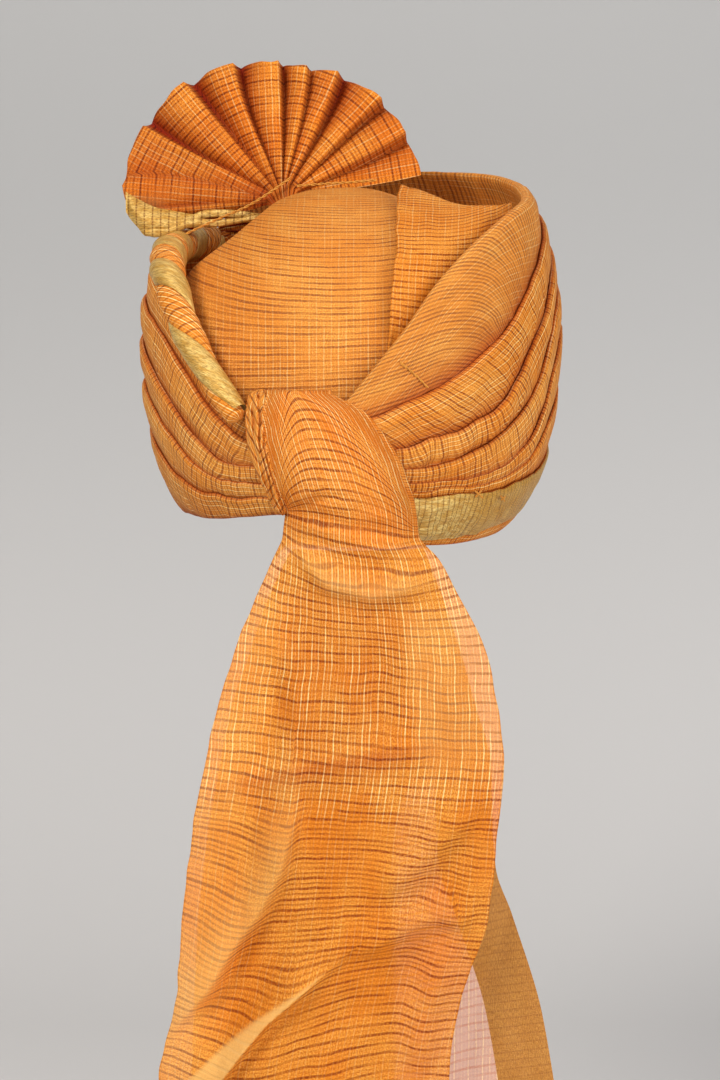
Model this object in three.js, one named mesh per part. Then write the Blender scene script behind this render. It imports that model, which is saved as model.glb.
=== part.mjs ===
// Tied turban (pagri): a crown of thin checked cloth with two pleated swathes wound round it,
// a twisted roll, a knot at the back with a long hanging tail, and a pleated fan on top.
// Millimetres. +Z is up, +Y is the way the wearer faces and +X is the wearer's right.
// The origin is the middle of the head opening, level with the rim at the back.
import * as THREE from "three";

const { abs, cos, exp, max, min, PI, sin } = Math;

// Driving sizes
const clothWall = 2; // one hanging cloth with its turned edges
const crownWall = 2.4; // the cloth drawn over the crown
const woundWall = 8; // layers of cloth wound on each other
const rimWall = 3; // the same layers at the free upper rim
const seatGap = 0.4; // between pieces that touch
const borderWidth = 30; // gold border woven along the cloth's edge
const borderWall = 2.2;
const levelPower = 2.15; // 2 makes every level an ellipse, more makes it fuller
const bodyCentreX = -2;
const bodyCentreY = 4;

// Outside of the wound body, a row for each level
const bodyLevels = [
  { z: -12, halfWidth: 76, halfDepth: 96 },
  { z: -4, halfWidth: 85, halfDepth: 104 },
  { z: 12, halfWidth: 97, halfDepth: 116 },
  { z: 40, halfWidth: 108, halfDepth: 127 },
  { z: 75, halfWidth: 113.5, halfDepth: 133 },
  { z: 110, halfWidth: 114.5, halfDepth: 133 },
  { z: 145, halfWidth: 109.5, halfDepth: 127 },
  { z: 175, halfWidth: 101, halfDepth: 117 },
  { z: 195, halfWidth: 86, halfDepth: 100 },
  { z: 203, halfWidth: 71, halfDepth: 82 },
];

// Outside of the crown, a row for each level: its reach to each side of the middle
const crownLevels = [
  { z: 58, left: 101.5, right: 99.6, back: 121.8, front: 104 },
  { z: 90, left: 104, right: 101.8, back: 124, front: 106 },
  { z: 118, left: 101, right: 97, back: 118, front: 99 },
  { z: 141, left: 90, right: 87, back: 106, front: 80 },
  { z: 159, left: 68, right: 66, back: 88, front: 46 },
  { z: 172, left: 52, right: 46, back: 68, front: 28 },
  { z: 181, left: 39, right: 29, back: 45, front: 15 },
  { z: 186, left: 22, right: 14, back: 22, front: 7 },
  { z: 187.5, left: 4, right: 4, back: 4, front: 4 },
];

// Azimuths, in degrees from the back towards +X, of the columns of each fold table
const rightAzimuths = [-6, 12, 24, 40, 56, 72, 90, 125, 160, 195, 228];
const leftAzimuths = [-13, -26, -36, -46, -58, -72, -90, -125, -160, -195, -242];

// Height of the upper edge of each fold at those azimuths, a row for each fold from the rim down.
// Relief is how far the fold stands out.
const rightFolds = [
  { fold: "rim", relief: 5, z: [62, 106, 136, 160, 173, 180, 187, 195, 197, 191, 171] },
  { fold: "second", relief: 5.5, z: [55, 71, 83, 105, 134, 157, 170, 182, 186, 182, 169] },
  { fold: "third", relief: 6, z: [48, 50, 56, 69, 106, 136, 153, 169, 175, 173, 167] },
  { fold: "fourth", relief: 5.5, z: [41, 39, 41, 52, 77, 119, 134, 152, 160, 163, 165] },
  { fold: "fifth", relief: 5, z: [34, 31, 31, 34, 48, 90, 112, 128, 140, 152, 163] },
  { fold: "sixth", relief: 4, z: [29, 27.5, 27, 29, 36, 60, 80, 98, 118, 140, 161] },
  { fold: "border", relief: 4, z: [25, 24, 23, 24, 27, 32, 42, 64, 98, 130, 159] },
  { fold: "hem", relief: 2, z: [10, 4, 1, 0, 3, 6, 13, 34, 68, 104, 155] },
  { fold: "end", relief: 0, z: [4, -1, -4, -5, -4, -2, 2, 23, 57, 96, 152.5] },
];
const leftFolds = [
  { fold: "rim", relief: 4, z: [62, 66, 80, 103, 123, 134, 141, 148.5, 149, 138, 106] },
  { fold: "second", relief: 5, z: [54, 52, 64, 85, 106, 119, 126, 131, 128, 116, 92] },
  { fold: "third", relief: 5.5, z: [46, 39, 41, 55, 77, 94, 104, 110, 106, 95, 78] },
  { fold: "fourth", relief: 5, z: [36, 30, 31, 37, 54, 72, 81, 87, 84, 76, 64] },
  { fold: "fifth", relief: 4.5, z: [28, 23, 22, 23, 30, 43, 55, 63, 62, 57, 48] },
  { fold: "end", relief: 0, z: [15, 13, 11, 9, 8, 8, 7, 12, 24, 28, 22] },
];
const narrowFold = 13; // a fold lower than this stands out less

// How far a fold stands out at shares of its height, from its upper edge to the next fold
const foldProfile = [
  { share: 0, out: 0 },
  { share: 0.08, out: 0.8 },
  { share: 0.45, out: 1 },
  { share: 0.9, out: 0.25 },
];

// Cloth flap over the right of the crown, a row for each upright section, from its folded edge
const flapSections = [
  { x: 18, lowY: -120.6, lowZ: 88, midY: -103, midZ: 148, topY: -28, topZ: 188 },
  { x: 30, lowY: -117, lowZ: 104, midY: -100, midZ: 152, topY: -36, topZ: 185 },
  { x: 46, lowY: -107.5, lowZ: 125, midY: -91, midZ: 158, topY: -45, topZ: 179.5 },
  { x: 62, lowY: -92.5, lowZ: 141, midY: -78, midZ: 163, topY: -50, topZ: 176.5 },
  { x: 76, lowY: -73, lowZ: 154, midY: -61, midZ: 169, topY: -44, topZ: 179 },
  { x: 86, lowY: -50, lowZ: 165, midY: -41, midZ: 175, topY: -29, topZ: 183 },
];

// Middle of the twisted roll, from the knot up the left side and along the rim to the front,
// where it meets the gathered end of the right swathe
const rollPath = [
  { x: -59.5, y: -124.8, z: 65, radius: 6.3 },
  { x: -71.8, y: -115.4, z: 82, radius: 7.6 },
  { x: -86.5, y: -99, z: 106, radius: 8.4 },
  { x: -96, y: -81, z: 127, radius: 9.2 },
  { x: -101, y: -58, z: 142, radius: 9.9 },
  { x: -102.5, y: -30, z: 149.6, radius: 9.8 },
  { x: -101, y: 4, z: 153, radius: 9 },
  { x: -95.5, y: 45, z: 157, radius: 8 },
  { x: -83.6, y: 81.6, z: 161.5, radius: 6.6 },
];
// Turns of the twist at shares of the roll's length: slow by the knot, then even
const rollTwist = [
  { along: 0, turns: 0 },
  { along: 0.25, turns: 0.7 },
  { along: 1, turns: 4.95 },
];
const rollGoldShare = 0.49; // of the roll's round that shows the border
const rollPhase = 210; // degrees, where the border starts at the knot
const rollGroove = 0.14; // depth of the groove beside the border, as a share of the radius

// Gathered strip at the left of the knot, a row for each level
const tuckRows = [
  { z: 80, left: -55, right: -43, back: -119, front: -131 },
  { z: 68, left: -57, right: -43, back: -123.5, front: -137 },
  { z: 54, left: -56, right: -42, back: -122.5, front: -139 },
  { z: 40, left: -52, right: -40, back: -121, front: -138 },
  { z: 28, left: -47, right: -37.5, back: -119, front: -135 },
  { z: 16, left: -41, right: -36, back: -117, front: -130 },
];
const tuckGathers = 3;

// Front cloth of the tail with its fold over the knot, a row for each level:
// its sides, and how far back its middle and its two edges lie
const tailRows = [
  { z: 79, left: -42, right: -12, middle: -135.5, edge: -133 },
  { z: 70, left: -42, right: 5, middle: -140, edge: -136.2 },
  { z: 58, left: -41.5, right: 15, middle: -144, edge: -136 },
  { z: 44, left: -40, right: 23, middle: -147, edge: -134 },
  { z: 30, left: -37.5, right: 29, middle: -148, edge: -130 },
  { z: 16, left: -35, right: 31.5, middle: -145, edge: -124 },
  { z: 4, left: -37, right: 33, middle: -142, edge: -124 },
  { z: -8, left: -43, right: 44, middle: -140, edge: -130 },
  { z: -28, left: -52, right: 55, middle: -139, edge: -132 },
  { z: -60, left: -64, right: 70, middle: -140, edge: -133 },
  { z: -117, left: -79, right: 78, middle: -142, edge: -134 },
  { z: -160, left: -86.5, right: 74, middle: -143, edge: -134 },
  { z: -200, left: -91, right: 70, middle: -145, edge: -134 },
  { z: -240, left: -94, right: 56, middle: -148, edge: -134 },
  { z: -278, left: -103, right: 50, middle: -150, edge: -135 },
  { z: -340, left: -108, right: 52, middle: -150, edge: -137 },
  { z: -420, left: -110, right: 56, middle: -149, edge: -139 },
];
// Long soft folds of the hanging tail: where they lie across it, and how deep and wide they are
const tailWaves = [
  { across: 0.2, depth: 5, width: 0.12 },
  { across: 0.52, depth: -6, width: 0.16 },
  { across: 0.82, depth: 4, width: 0.1 },
];
const tailWaveTop = -10; // the folds run out at the knot
const tailWaveFull = -200;

// Back cloth of the tail, a row for each level; the gold border runs along its right edge
const tailBackRows = [
  { z: -2, left: -33, right: 36, behind: 0 },
  { z: -28, left: -45, right: 45, behind: 4 },
  { z: -60, left: -56, right: 56, behind: 8 },
  { z: -117, left: -71, right: 66, behind: 11 },
  { z: -169, left: -80, right: 75, behind: 12 },
  { z: -200, left: -83, right: 85, behind: 12 },
  { z: -257, left: -86, right: 101, behind: 12 },
  { z: -340, left: -88, right: 113, behind: 12 },
  { z: -410, left: -88, right: 118, behind: 12 },
];

// Fan: the ridge of each pleat, by its angle from +X and its reach from the middle of the fan
const fanMiddle = { x: -41, y: 22, z: 181 };
const fanLean = 8; // degrees that the top of the fan leans to the front
const fanBaseRadius = 9;
const fanNeckWidth = 12;
const fanRelief = 11; // from the ridges to the valleys at the rim
const fanWall = 2.2;
const fanRidges = [
  { angle: 10, reach: 79 },
  { angle: 29, reach: 80 },
  { angle: 46, reach: 80 },
  { angle: 67, reach: 79.5 },
  { angle: 80, reach: 77.5 },
  { angle: 92, reach: 79 },
  { angle: 110, reach: 83 },
  { angle: 130, reach: 88 },
  { angle: 152, reach: 90 },
  { angle: 175, reach: 92 },
  { angle: 186.5, reach: 89 },
];
const fanBorderRidges = [
  { angle: 188.4, reach: 88 },
  { angle: 192.5, reach: 85 },
  { angle: 195, reach: 57 },
];
const valleyShare = 0.72; // place of the valley between one ridge and the next
const valleyReach = 0.965; // reach of the rim there

const radians = (degrees) => (degrees * PI) / 180;
const mix = (a, b, share) => a + (b - a) * share;
const spread = (from, to, steps) =>
  Array.from({ length: steps + 1 }, (_, i) => mix(from, to, i / steps));
const vector = (x, y, z) => new THREE.Vector3(x, y, z);

function ease(from, to, at) {
  const t = min(1, max(0, (at - from) / (to - from)));
  return t * t * (3 - 2 * t);
}

// A smooth curve through points that never overshoots them
function through(keys, values) {
  const order = keys.map((key, i) => [key, values[i]]).sort((a, b) => a[0] - b[0]);
  const k = order.map((pair) => pair[0]);
  const v = order.map((pair) => pair[1]);
  const slope = k.slice(1).map((key, i) => (v[i + 1] - v[i]) / (key - k[i]));
  const tangent = k.map((_, i) => {
    if (i === 0) return slope[0];
    if (i === k.length - 1) return slope[i - 1];
    const [a, b] = [slope[i - 1], slope[i]];
    return a * b <= 0 ? 0 : (2 * a * b) / (a + b);
  });
  return (at) => {
    const x = min(k[k.length - 1], max(k[0], at));
    let i = 0;
    while (i < k.length - 2 && x > k[i + 1]) i++;
    const h = k[i + 1] - k[i];
    const t = (x - k[i]) / h;
    const bend = (1 - t) * tangent[i] - t * tangent[i + 1];
    return mix(v[i], v[i + 1], t * t * (3 - 2 * t)) + h * t * (1 - t) * bend;
  };
}
const columnOf = (rows, key, name) =>
  through(rows.map((row) => row[key]), rows.map((row) => row[name]));

// The point of a rounded level at an azimuth
function onLevel(azimuth, reachX, reachY, z) {
  const s = sin(radians(azimuth));
  const c = cos(radians(azimuth));
  const k = (abs(s) ** levelPower + abs(c) ** levelPower) ** (-1 / levelPower);
  return vector(bodyCentreX + reachX * k * s, bodyCentreY - reachY * k * c, z);
}

const bodyWidth = columnOf(bodyLevels, "z", "halfWidth");
const bodyDepth = columnOf(bodyLevels, "z", "halfDepth");
const bodyAt = (azimuth, z) => onLevel(azimuth, bodyWidth(z), bodyDepth(z), z);

// A point that stands out from the body's surface by a distance
function bodyOut(azimuth, z, out) {
  const step = 0.5;
  const upward = bodyAt(azimuth, z + step).sub(bodyAt(azimuth, z - step));
  const around = bodyAt(azimuth + step, z).sub(bodyAt(azimuth - step, z));
  return bodyAt(azimuth, z).addScaledVector(around.cross(upward).normalize(), out);
}

// Makes a geometry with its faces turned outwards
function facesOut(points, faces) {
  let volume = 0;
  for (let i = 0; i < faces.length; i += 3) {
    const [a, b, c] = faces.slice(i, i + 3).map((index) => points[index]);
    volume += a.dot(b.clone().cross(c));
  }
  const geometry = new THREE.BufferGeometry().setFromPoints(points);
  geometry.setIndex(volume < 0 ? faces.toReversed() : faces);
  geometry.computeVertexNormals();
  return geometry;
}

// Closes two grids of points, one in front of the other, into one solid
function closedShell(outer, inner) {
  const rows = outer.length;
  const columns = outer[0].length;
  const at = (side, r, c) => (side * rows + r) * columns + c;
  const faces = [];
  const quad = (a, b, c, d) => faces.push(a, b, c, a, c, d);
  const lastRow = rows - 1;
  const lastColumn = columns - 1;
  for (let r = 0; r < lastRow; r++) {
    for (let c = 0; c < lastColumn; c++) {
      quad(at(0, r, c), at(0, r, c + 1), at(0, r + 1, c + 1), at(0, r + 1, c));
      quad(at(1, r, c), at(1, r + 1, c), at(1, r + 1, c + 1), at(1, r, c + 1));
    }
    quad(at(0, r, 0), at(0, r + 1, 0), at(1, r + 1, 0), at(1, r, 0));
    quad(at(0, r, lastColumn), at(1, r, lastColumn), at(1, r + 1, lastColumn), at(0, r + 1, lastColumn));
  }
  for (let c = 0; c < lastColumn; c++) {
    quad(at(0, 0, c), at(1, 0, c), at(1, 0, c + 1), at(0, 0, c + 1));
    quad(at(0, lastRow, c), at(0, lastRow, c + 1), at(1, lastRow, c + 1), at(1, lastRow, c));
  }
  return facesOut([...outer.flat(), ...inner.flat()], faces);
}

// Closes a row of rings of equal count into a tube with flat ends
function closedTube(rings) {
  const count = rings[0].length;
  const faces = [];
  for (let r = 0; r + 1 < rings.length; r++) {
    for (let i = 0; i < count; i++) {
      const a = r * count + i;
      const b = r * count + ((i + 1) % count);
      faces.push(a, b, b + count, a, b + count, a + count);
    }
  }
  const last = (rings.length - 1) * count;
  const middles = [rings[0], rings.at(-1)].map((ring) =>
    ring.reduce((sum, point) => sum.add(point), vector(0, 0, 0)).divideScalar(count),
  );
  const middle = rings.length * count;
  for (let i = 0; i < count; i++) {
    const j = (i + 1) % count;
    faces.push(middle, j, i, middle + 1, last + i, last + j);
  }
  return facesOut([...rings.flat(), ...middles], faces);
}

// Crown: a thin dome, open below
const crownReach = Object.fromEntries(
  ["left", "right", "back", "front"].map((side) => [side, columnOf(crownLevels, "z", side)]),
);
function crownAt(azimuth, z, inset) {
  const sideX = sin(radians(azimuth)) < 0 ? "left" : "right";
  const sideY = cos(radians(azimuth)) < 0 ? "front" : "back";
  const reachX = max(1, crownReach[sideX](z) - inset);
  const reachY = max(1, crownReach[sideY](z) - inset);
  return onLevel(azimuth, reachX, reachY, z);
}
// Height of the crown over a place within its outline
function crownHeight(x, y) {
  const reachX = crownReach[x < bodyCentreX ? "left" : "right"];
  const reachY = crownReach[y < bodyCentreY ? "back" : "front"];
  let [low, high] = [crownLevels[0].z, crownLevels.at(-1).z];
  for (let i = 0; i < 40; i++) {
    const z = (low + high) / 2;
    const shareX = abs((x - bodyCentreX) / reachX(z)) ** levelPower;
    const shareY = abs((y - bodyCentreY) / reachY(z)) ** levelPower;
    if (shareX + shareY < 1) low = z;
    else high = z;
  }
  return low;
}
function crownCloth() {
  const around = 30;
  const azimuths = spread(0, 360, around).slice(0, around);
  const levels = [58, 74, 90, 106, 121, 135, 147, 158, 167, 175, 181, 185, 187.5];
  const outer = levels.map((z) => azimuths.map((azimuth) => crownAt(azimuth, z, 0)));
  const inner = levels.map((z) =>
    azimuths.map((azimuth) => {
      const drop = crownWall * ease(95, 150, z);
      return crownAt(azimuth, z, crownWall * 1.1).setZ(z - drop);
    }),
  );
  return closedTube([...inner.toReversed(), ...outer]);
}

// Flap: upright sections, each bowed out between its lower edge and its rim
function crownFlap() {
  const curves = Object.fromEntries(
    ["lowY", "lowZ", "midY", "midZ", "topY", "topZ"].map((name) => [name, columnOf(flapSections, "x", name)]),
  );
  const stations = spread(flapSections[0].x, flapSections.at(-1).x, 10);
  const shares = spread(0, 1, 9);
  const face = (out) =>
    stations.map((x) => {
      const at = Object.fromEntries(Object.entries(curves).map(([name, curve]) => [name, curve(x)]));
      return shares.map((t) => {
        const [a, b, c] = [(1 - t) * (1 - 2 * t), 4 * t * (1 - t), t * (2 * t - 1)];
        const y = a * at.lowY + b * at.midY + c * at.topY;
        const z = a * at.lowZ + b * at.midZ + c * at.topZ;
        return vector(x, y + out * (0.8 - 0.7 * t), z - out * (0.15 + 0.85 * t));
      });
    });
  return closedShell(face(0), face(clothWall));
}

// Swathes: a wall of wound cloth with folds that overlap downwards
const rightEdges = rightFolds.map((row) => through(rightAzimuths, row.z));
const leftEdges = leftFolds.map((row) => through(leftAzimuths, row.z));
const rightStart = rightAzimuths[0];
const rightEnd = rightAzimuths.at(-1);

// Points across a swathe at one azimuth: height, how far the fold stands out, and its fold
function acrossFolds(folds, edges, azimuth) {
  const heights = edges.map((edge) => edge(azimuth));
  const points = folds.slice(0, -1).flatMap((row, i) => {
    const height = heights[i] - heights[i + 1];
    const relief = row.relief * min(1, height / narrowFold);
    return foldProfile.map(({ share, out }) => ({
      z: heights[i] - share * height,
      out: relief * out,
      fold: row.fold,
    }));
  });
  return [...points, { z: heights.at(-1), out: 0, fold: "end" }];
}

const borderSink = borderWall + seatGap;
function rightAcross(azimuth) {
  return acrossFolds(rightFolds, rightEdges, azimuth).map((point) => ({
    ...point,
    out: point.out - (point.fold === "border" ? borderSink : 0),
  }));
}
const rightStations = spread(rightStart, rightEnd, 20);
function rightSwathe() {
  const outer = rightStations.map((azimuth) =>
    rightAcross(azimuth).map(({ z, out }) => bodyOut(azimuth, z, out)),
  );
  const inner = rightStations.map((azimuth) => {
    const points = rightAcross(azimuth);
    const top = points[0].z;
    return points.map(({ z }) => {
      const wall = mix(rimWall, woundWall, ease(2, 26, top - z));
      return bodyOut(azimuth, z, -wall);
    });
  });
  return closedShell(outer, inner);
}

// Gold border: lies on the right swathe's lowest fold
function rightBorder() {
  const stations = rightStations.slice(0, -2);
  const face = (out) =>
    stations.map((azimuth) =>
      rightAcross(azimuth)
        .filter((point) => point.fold === "border")
        .slice(1)
        .map((point) => bodyOut(azimuth, point.z, point.out + out)),
    );
  return closedShell(face(borderSink), face(seatGap));
}

// Where the right swathe lies over the left one: 1 well under it, 0 clear of it
function tucked(azimuth, z) {
  const rightAzimuth = azimuth + 360;
  const under = ease(-30, -4, z - rightEdges.at(-1)(rightAzimuth));
  return under * ease(rightEnd + 16, rightEnd + 3, rightAzimuth);
}
const tuckDepth = woundWall + 2.5;
function leftSwathe() {
  const stations = spread(leftAzimuths[0], leftAzimuths.at(-1), 20);
  const outer = stations.map((azimuth) =>
    acrossFolds(leftFolds, leftEdges, azimuth).map(({ z, out }) => {
      const share = tucked(azimuth, z);
      return bodyOut(azimuth, z, out * (1 - share) - tuckDepth * share);
    }),
  );
  const inner = stations.map((azimuth) => {
    const points = acrossFolds(leftFolds, leftEdges, azimuth);
    const top = points[0].z;
    return points.map(({ z }) => {
      const share = tucked(azimuth, z);
      const wall = mix(rimWall, woundWall, ease(2, 26, top - z)) * (1 - 0.4 * share);
      return bodyOut(azimuth, z, -wall - tuckDepth * share);
    });
  });
  return closedShell(outer, inner);
}

// Twisted roll: a round cloth roll with a channel that winds along it, and the border in the channel
const rollCurve = new THREE.CatmullRomCurve3(
  rollPath.map(({ x, y, z }) => vector(x, y, z)),
  false,
  "centripetal",
);
const rollSteps = 46;
const rollFrames = rollCurve.computeFrenetFrames(rollSteps, false);
const rollRadius = through(
  spread(0, 1, rollPath.length - 1),
  rollPath.map((row) => row.radius),
);
const rollTurns = columnOf(rollTwist, "along", "turns");
// A run of points round the roll at one step, at shares of the round and a depth under its surface
function rollArc(step, shares, depth) {
  const t = step / rollSteps;
  const middle = rollCurve.getPointAt(t);
  const radius = rollRadius(t);
  const turn = radians(rollPhase) - 2 * PI * rollTurns(t);
  const [first, last] = [shares[0], shares.at(-1)];
  return shares.map((share) => {
    const bulge = sin((PI * (share - first)) / (last - first));
    const reach = radius * (1 - rollGroove * (1 - bulge)) - depth;
    const angle = turn + 2 * PI * share;
    return middle
      .clone()
      .addScaledVector(rollFrames.normals[step], reach * cos(angle))
      .addScaledVector(rollFrames.binormals[step], reach * sin(angle));
  });
}
const rollStepList = Array.from({ length: rollSteps + 1 }, (_, step) => step);
const channelMargin = 0.025; // of the round, on each side of the border
function twistCloth() {
  const clothShares = spread(channelMargin * 3, 1 - rollGoldShare - channelMargin * 3, 4);
  const channelShares = spread(1 - rollGoldShare - channelMargin, 1 + channelMargin, 4);
  const channelDepth = borderWall + 2 * seatGap;
  return closedTube(
    rollStepList.map((step) => [
      ...rollArc(step, clothShares, 0),
      ...rollArc(step, channelShares, channelDepth),
    ]),
  );
}
function twistBorder() {
  const shares = spread(1 - rollGoldShare, 1, 4);
  const steps = rollStepList.slice(1, -1);
  const face = (depth) => steps.map((step) => rollArc(step, shares, depth));
  return closedShell(face(0), face(borderWall));
}

// Gathered strip of the knot: a rounded upright bar with grooves down its front
function knotTuck() {
  const column = Object.fromEntries(
    ["left", "right", "back", "front"].map((name) => [name, columnOf(tuckRows, "z", name)]),
  );
  const levels = spread(tuckRows[0].z, tuckRows.at(-1).z, 9);
  const rings = levels.map((z) => {
    const front = spread(0, 1, 4 * tuckGathers).map((share) => {
      const gather = 0.86 + 0.14 * abs(sin(PI * tuckGathers * share));
      const round = sin(PI * mix(0.12, 0.88, share)) ** 0.6;
      const x = mix(column.left(z), column.right(z), share);
      return vector(x, mix(column.back(z), column.front(z), gather * round), z);
    });
    const back = [0.75, 0.25].map((share) =>
      vector(mix(column.left(z), column.right(z), share), column.back(z), z),
    );
    return [...front, ...back];
  });
  return closedTube(rings);
}

// Tail: how far back its front cloth lies at a place
const tail = Object.fromEntries(
  ["left", "right", "middle", "edge"].map((name) => [name, columnOf(tailRows, "z", name)]),
);
const tailRoundPower = 2.4;
const tailOverhang = 1.15; // the rounding goes on this far past the front cloth's sides
function tailDepth(x, z) {
  const across = (x - tail.left(z)) / (tail.right(z) - tail.left(z));
  const fromMiddle = min(tailOverhang, abs(2 * across - 1));
  const waves = tailWaves.reduce((sum, { across: at, depth, width }) => {
    const t = (across - at) / width;
    return sum + depth * exp(-t * t);
  }, 0);
  const round = mix(tail.middle(z), tail.edge(z), fromMiddle ** tailRoundPower);
  return round + waves * ease(tailWaveTop, tailWaveFull, z);
}
function hangingSheet(levels, columns, leftAt, rightAt, behindAt) {
  const face = (out) =>
    levels.map((z) =>
      spread(leftAt(z), rightAt(z), columns).map((x) => vector(x, tailDepth(x, z) + behindAt(z) + out, z)),
    );
  return closedShell(face(0), face(clothWall));
}
const tailEnd = tailRows.at(-1).z;
const tailLevels = [...tailRows.slice(0, 9).map((row) => row.z), ...spread(-50, tailEnd, 14)];
const tailFront = () => hangingSheet(tailLevels, 12, tail.left, tail.right, () => 0);

const tailBackLeft = columnOf(tailBackRows, "z", "left");
const tailBackRight = columnOf(tailBackRows, "z", "right");
const tailBehind = columnOf(tailBackRows, "z", "behind");
const tailBackAt = (z) => clothWall + 2 * seatGap + tailBehind(z);
const tailBackLevels = spread(tailBackRows[0].z, tailBackRows.at(-1).z, 16);
const tailBack = () =>
  hangingSheet(tailBackLevels, 8, tailBackLeft, (z) => tailBackRight(z) - borderWidth - seatGap, tailBackAt);
const tailBorder = () =>
  hangingSheet(tailBackLevels, 3, (z) => tailBackRight(z) - borderWidth, tailBackRight, tailBackAt);

// Fan: pleats that rise from a gathered neck, with a steep side after each ridge
function fanPleats(ridges, neckFrom, neckTo) {
  const across = ridges.flatMap((ridge, i) => {
    const next = ridges[i + 1];
    const here = { angle: ridge.angle, reach: ridge.reach, back: 0 };
    if (!next) return [here];
    const at = (share) => mix(ridge.angle, next.angle, share);
    const reach = mix(ridge.reach, next.reach, valleyShare) * valleyReach;
    const slope = { angle: at(valleyShare / 2), reach: mix(ridge.reach, reach, 0.4), back: 0.35 };
    return [here, slope, { angle: at(valleyShare), reach, back: 1 }];
  });
  const first = across[0].angle;
  const span = across.at(-1).angle - first;
  const radii = [0, 0.16, 0.4, 0.7, 1];
  const lean = radians(fanLean);
  const neckZ = max(...[neckFrom, neckTo].map((x) => crownHeight(fanMiddle.x + x, fanMiddle.y))) + seatGap;
  const place = (u, out, w) =>
    vector(
      fanMiddle.x + u,
      fanMiddle.y + out * cos(lean) + w * sin(lean),
      fanMiddle.z + w * cos(lean) - out * sin(lean),
    );
  const face = (out) => [
    across.map(({ angle, back }) => {
      const x = mix(neckFrom, neckTo, (angle - first) / span);
      return vector(fanMiddle.x + x, fanMiddle.y + back * 2 + out, neckZ);
    }),
    ...radii.map((share) =>
      across.map(({ angle, reach, back }) => {
        const r = mix(fanBaseRadius, reach, share);
        const depth = back * mix(2, fanRelief, share) + out;
        return place(r * cos(radians(angle)), depth, r * sin(radians(angle)));
      }),
    ),
  ];
  return closedShell(face(0), face(fanWall));
}
const neckSplit = mix(fanNeckWidth / 2, -fanNeckWidth / 2, 0.9);

const clothLook = { color: 0xe08a36, roughness: 0.8, metalness: 0 };
const goldLook = { color: 0xb98f40, roughness: 0.45, metalness: 0.6 };
const pieces = [
  ["crown_cloth", clothLook, crownCloth()],
  ["crown_flap", clothLook, crownFlap()],
  ["right_swathe", clothLook, rightSwathe()],
  ["right_border", goldLook, rightBorder()],
  ["left_swathe", clothLook, leftSwathe()],
  ["twist_cloth", clothLook, twistCloth()],
  ["twist_border", goldLook, twistBorder()],
  ["knot_tuck", clothLook, knotTuck()],
  ["tail_front", clothLook, tailFront()],
  ["tail_back", clothLook, tailBack()],
  ["tail_border", goldLook, tailBorder()],
  ["fan", clothLook, fanPleats(fanRidges, fanNeckWidth / 2, neckSplit + 2 * seatGap)],
  ["fan_border", goldLook, fanPleats(fanBorderRidges, neckSplit, -fanNeckWidth / 2 - 1)],
];

const group = new THREE.Group();
for (const [name, look, geometry] of pieces) {
  const mesh = new THREE.Mesh(geometry, new THREE.MeshStandardMaterial(look));
  mesh.name = name;
  group.add(mesh);
}
export default group;
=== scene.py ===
import math

import bpy
import numpy as np
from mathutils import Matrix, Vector


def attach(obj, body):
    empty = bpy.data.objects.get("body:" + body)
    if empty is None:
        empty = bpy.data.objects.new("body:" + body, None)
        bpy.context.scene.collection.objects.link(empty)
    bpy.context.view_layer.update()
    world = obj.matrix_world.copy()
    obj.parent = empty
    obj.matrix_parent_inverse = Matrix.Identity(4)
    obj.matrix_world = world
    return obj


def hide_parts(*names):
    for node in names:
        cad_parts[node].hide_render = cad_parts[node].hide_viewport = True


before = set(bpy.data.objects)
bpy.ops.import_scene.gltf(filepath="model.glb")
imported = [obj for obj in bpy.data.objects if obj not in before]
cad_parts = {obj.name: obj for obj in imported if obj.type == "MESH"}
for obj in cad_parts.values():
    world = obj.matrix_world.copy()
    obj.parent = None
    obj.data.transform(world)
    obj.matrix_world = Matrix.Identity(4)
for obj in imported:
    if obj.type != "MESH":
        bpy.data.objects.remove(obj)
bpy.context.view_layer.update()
print("stage: frame loaded")

mm = 0.001  # sizes are in millimetres, in the frame of the solids: +X right, +Y away from the camera, +Z up


# Curves and noise

# Smooth curve through values at keys, with no overshoot
def through(keys, values):
    order = np.argsort(keys)
    k = np.asarray(keys, float)[order]
    v = np.asarray(values, float)[order]
    slope = np.diff(v) / np.diff(k)
    tangent = np.concatenate([slope[:1], np.zeros(len(k) - 2), slope[-1:]])
    a, b = slope[:-1], slope[1:]
    same = a * b > 0
    tangent[1:-1] = np.where(same, 2 * a * b / np.where(same, a + b, 1), 0)

    def curve(at):
        x = np.clip(at, k[0], k[-1])
        i = np.clip(np.searchsorted(k, x, side="right") - 1, 0, len(k) - 2)
        h = k[i + 1] - k[i]
        t = (x - k[i]) / h
        bend = (1 - t) * tangent[i] - t * tangent[i + 1]
        return v[i] + (v[i + 1] - v[i]) * t * t * (3 - 2 * t) + h * t * (1 - t) * bend

    return curve


def columnOf(rows, column):
    table = np.array(rows, float)
    return through(table[:, 0], table[:, column])


def mix(a, b, share):
    return a + (b - a) * share


def ease(start, end, at):
    t = np.clip((np.asarray(at, float) - start) / (end - start), 0, 1)
    return t * t * (3 - 2 * t)


def unit(vectors):
    return vectors / np.maximum(np.linalg.norm(vectors, axis=-1, keepdims=True), 1e-9)


# Length along a line, or along each line of a grid
def lengthAlong(points, axis=0):
    steps = np.linalg.norm(np.diff(points, axis=axis), axis=-1)
    start = 0 * np.take(steps, [0], axis=axis)
    return np.concatenate([start, np.cumsum(steps, axis=axis)], axis=axis)


def gridNormals(points):
    return unit(np.cross(np.gradient(points, axis=0), np.gradient(points, axis=1)))


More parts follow.
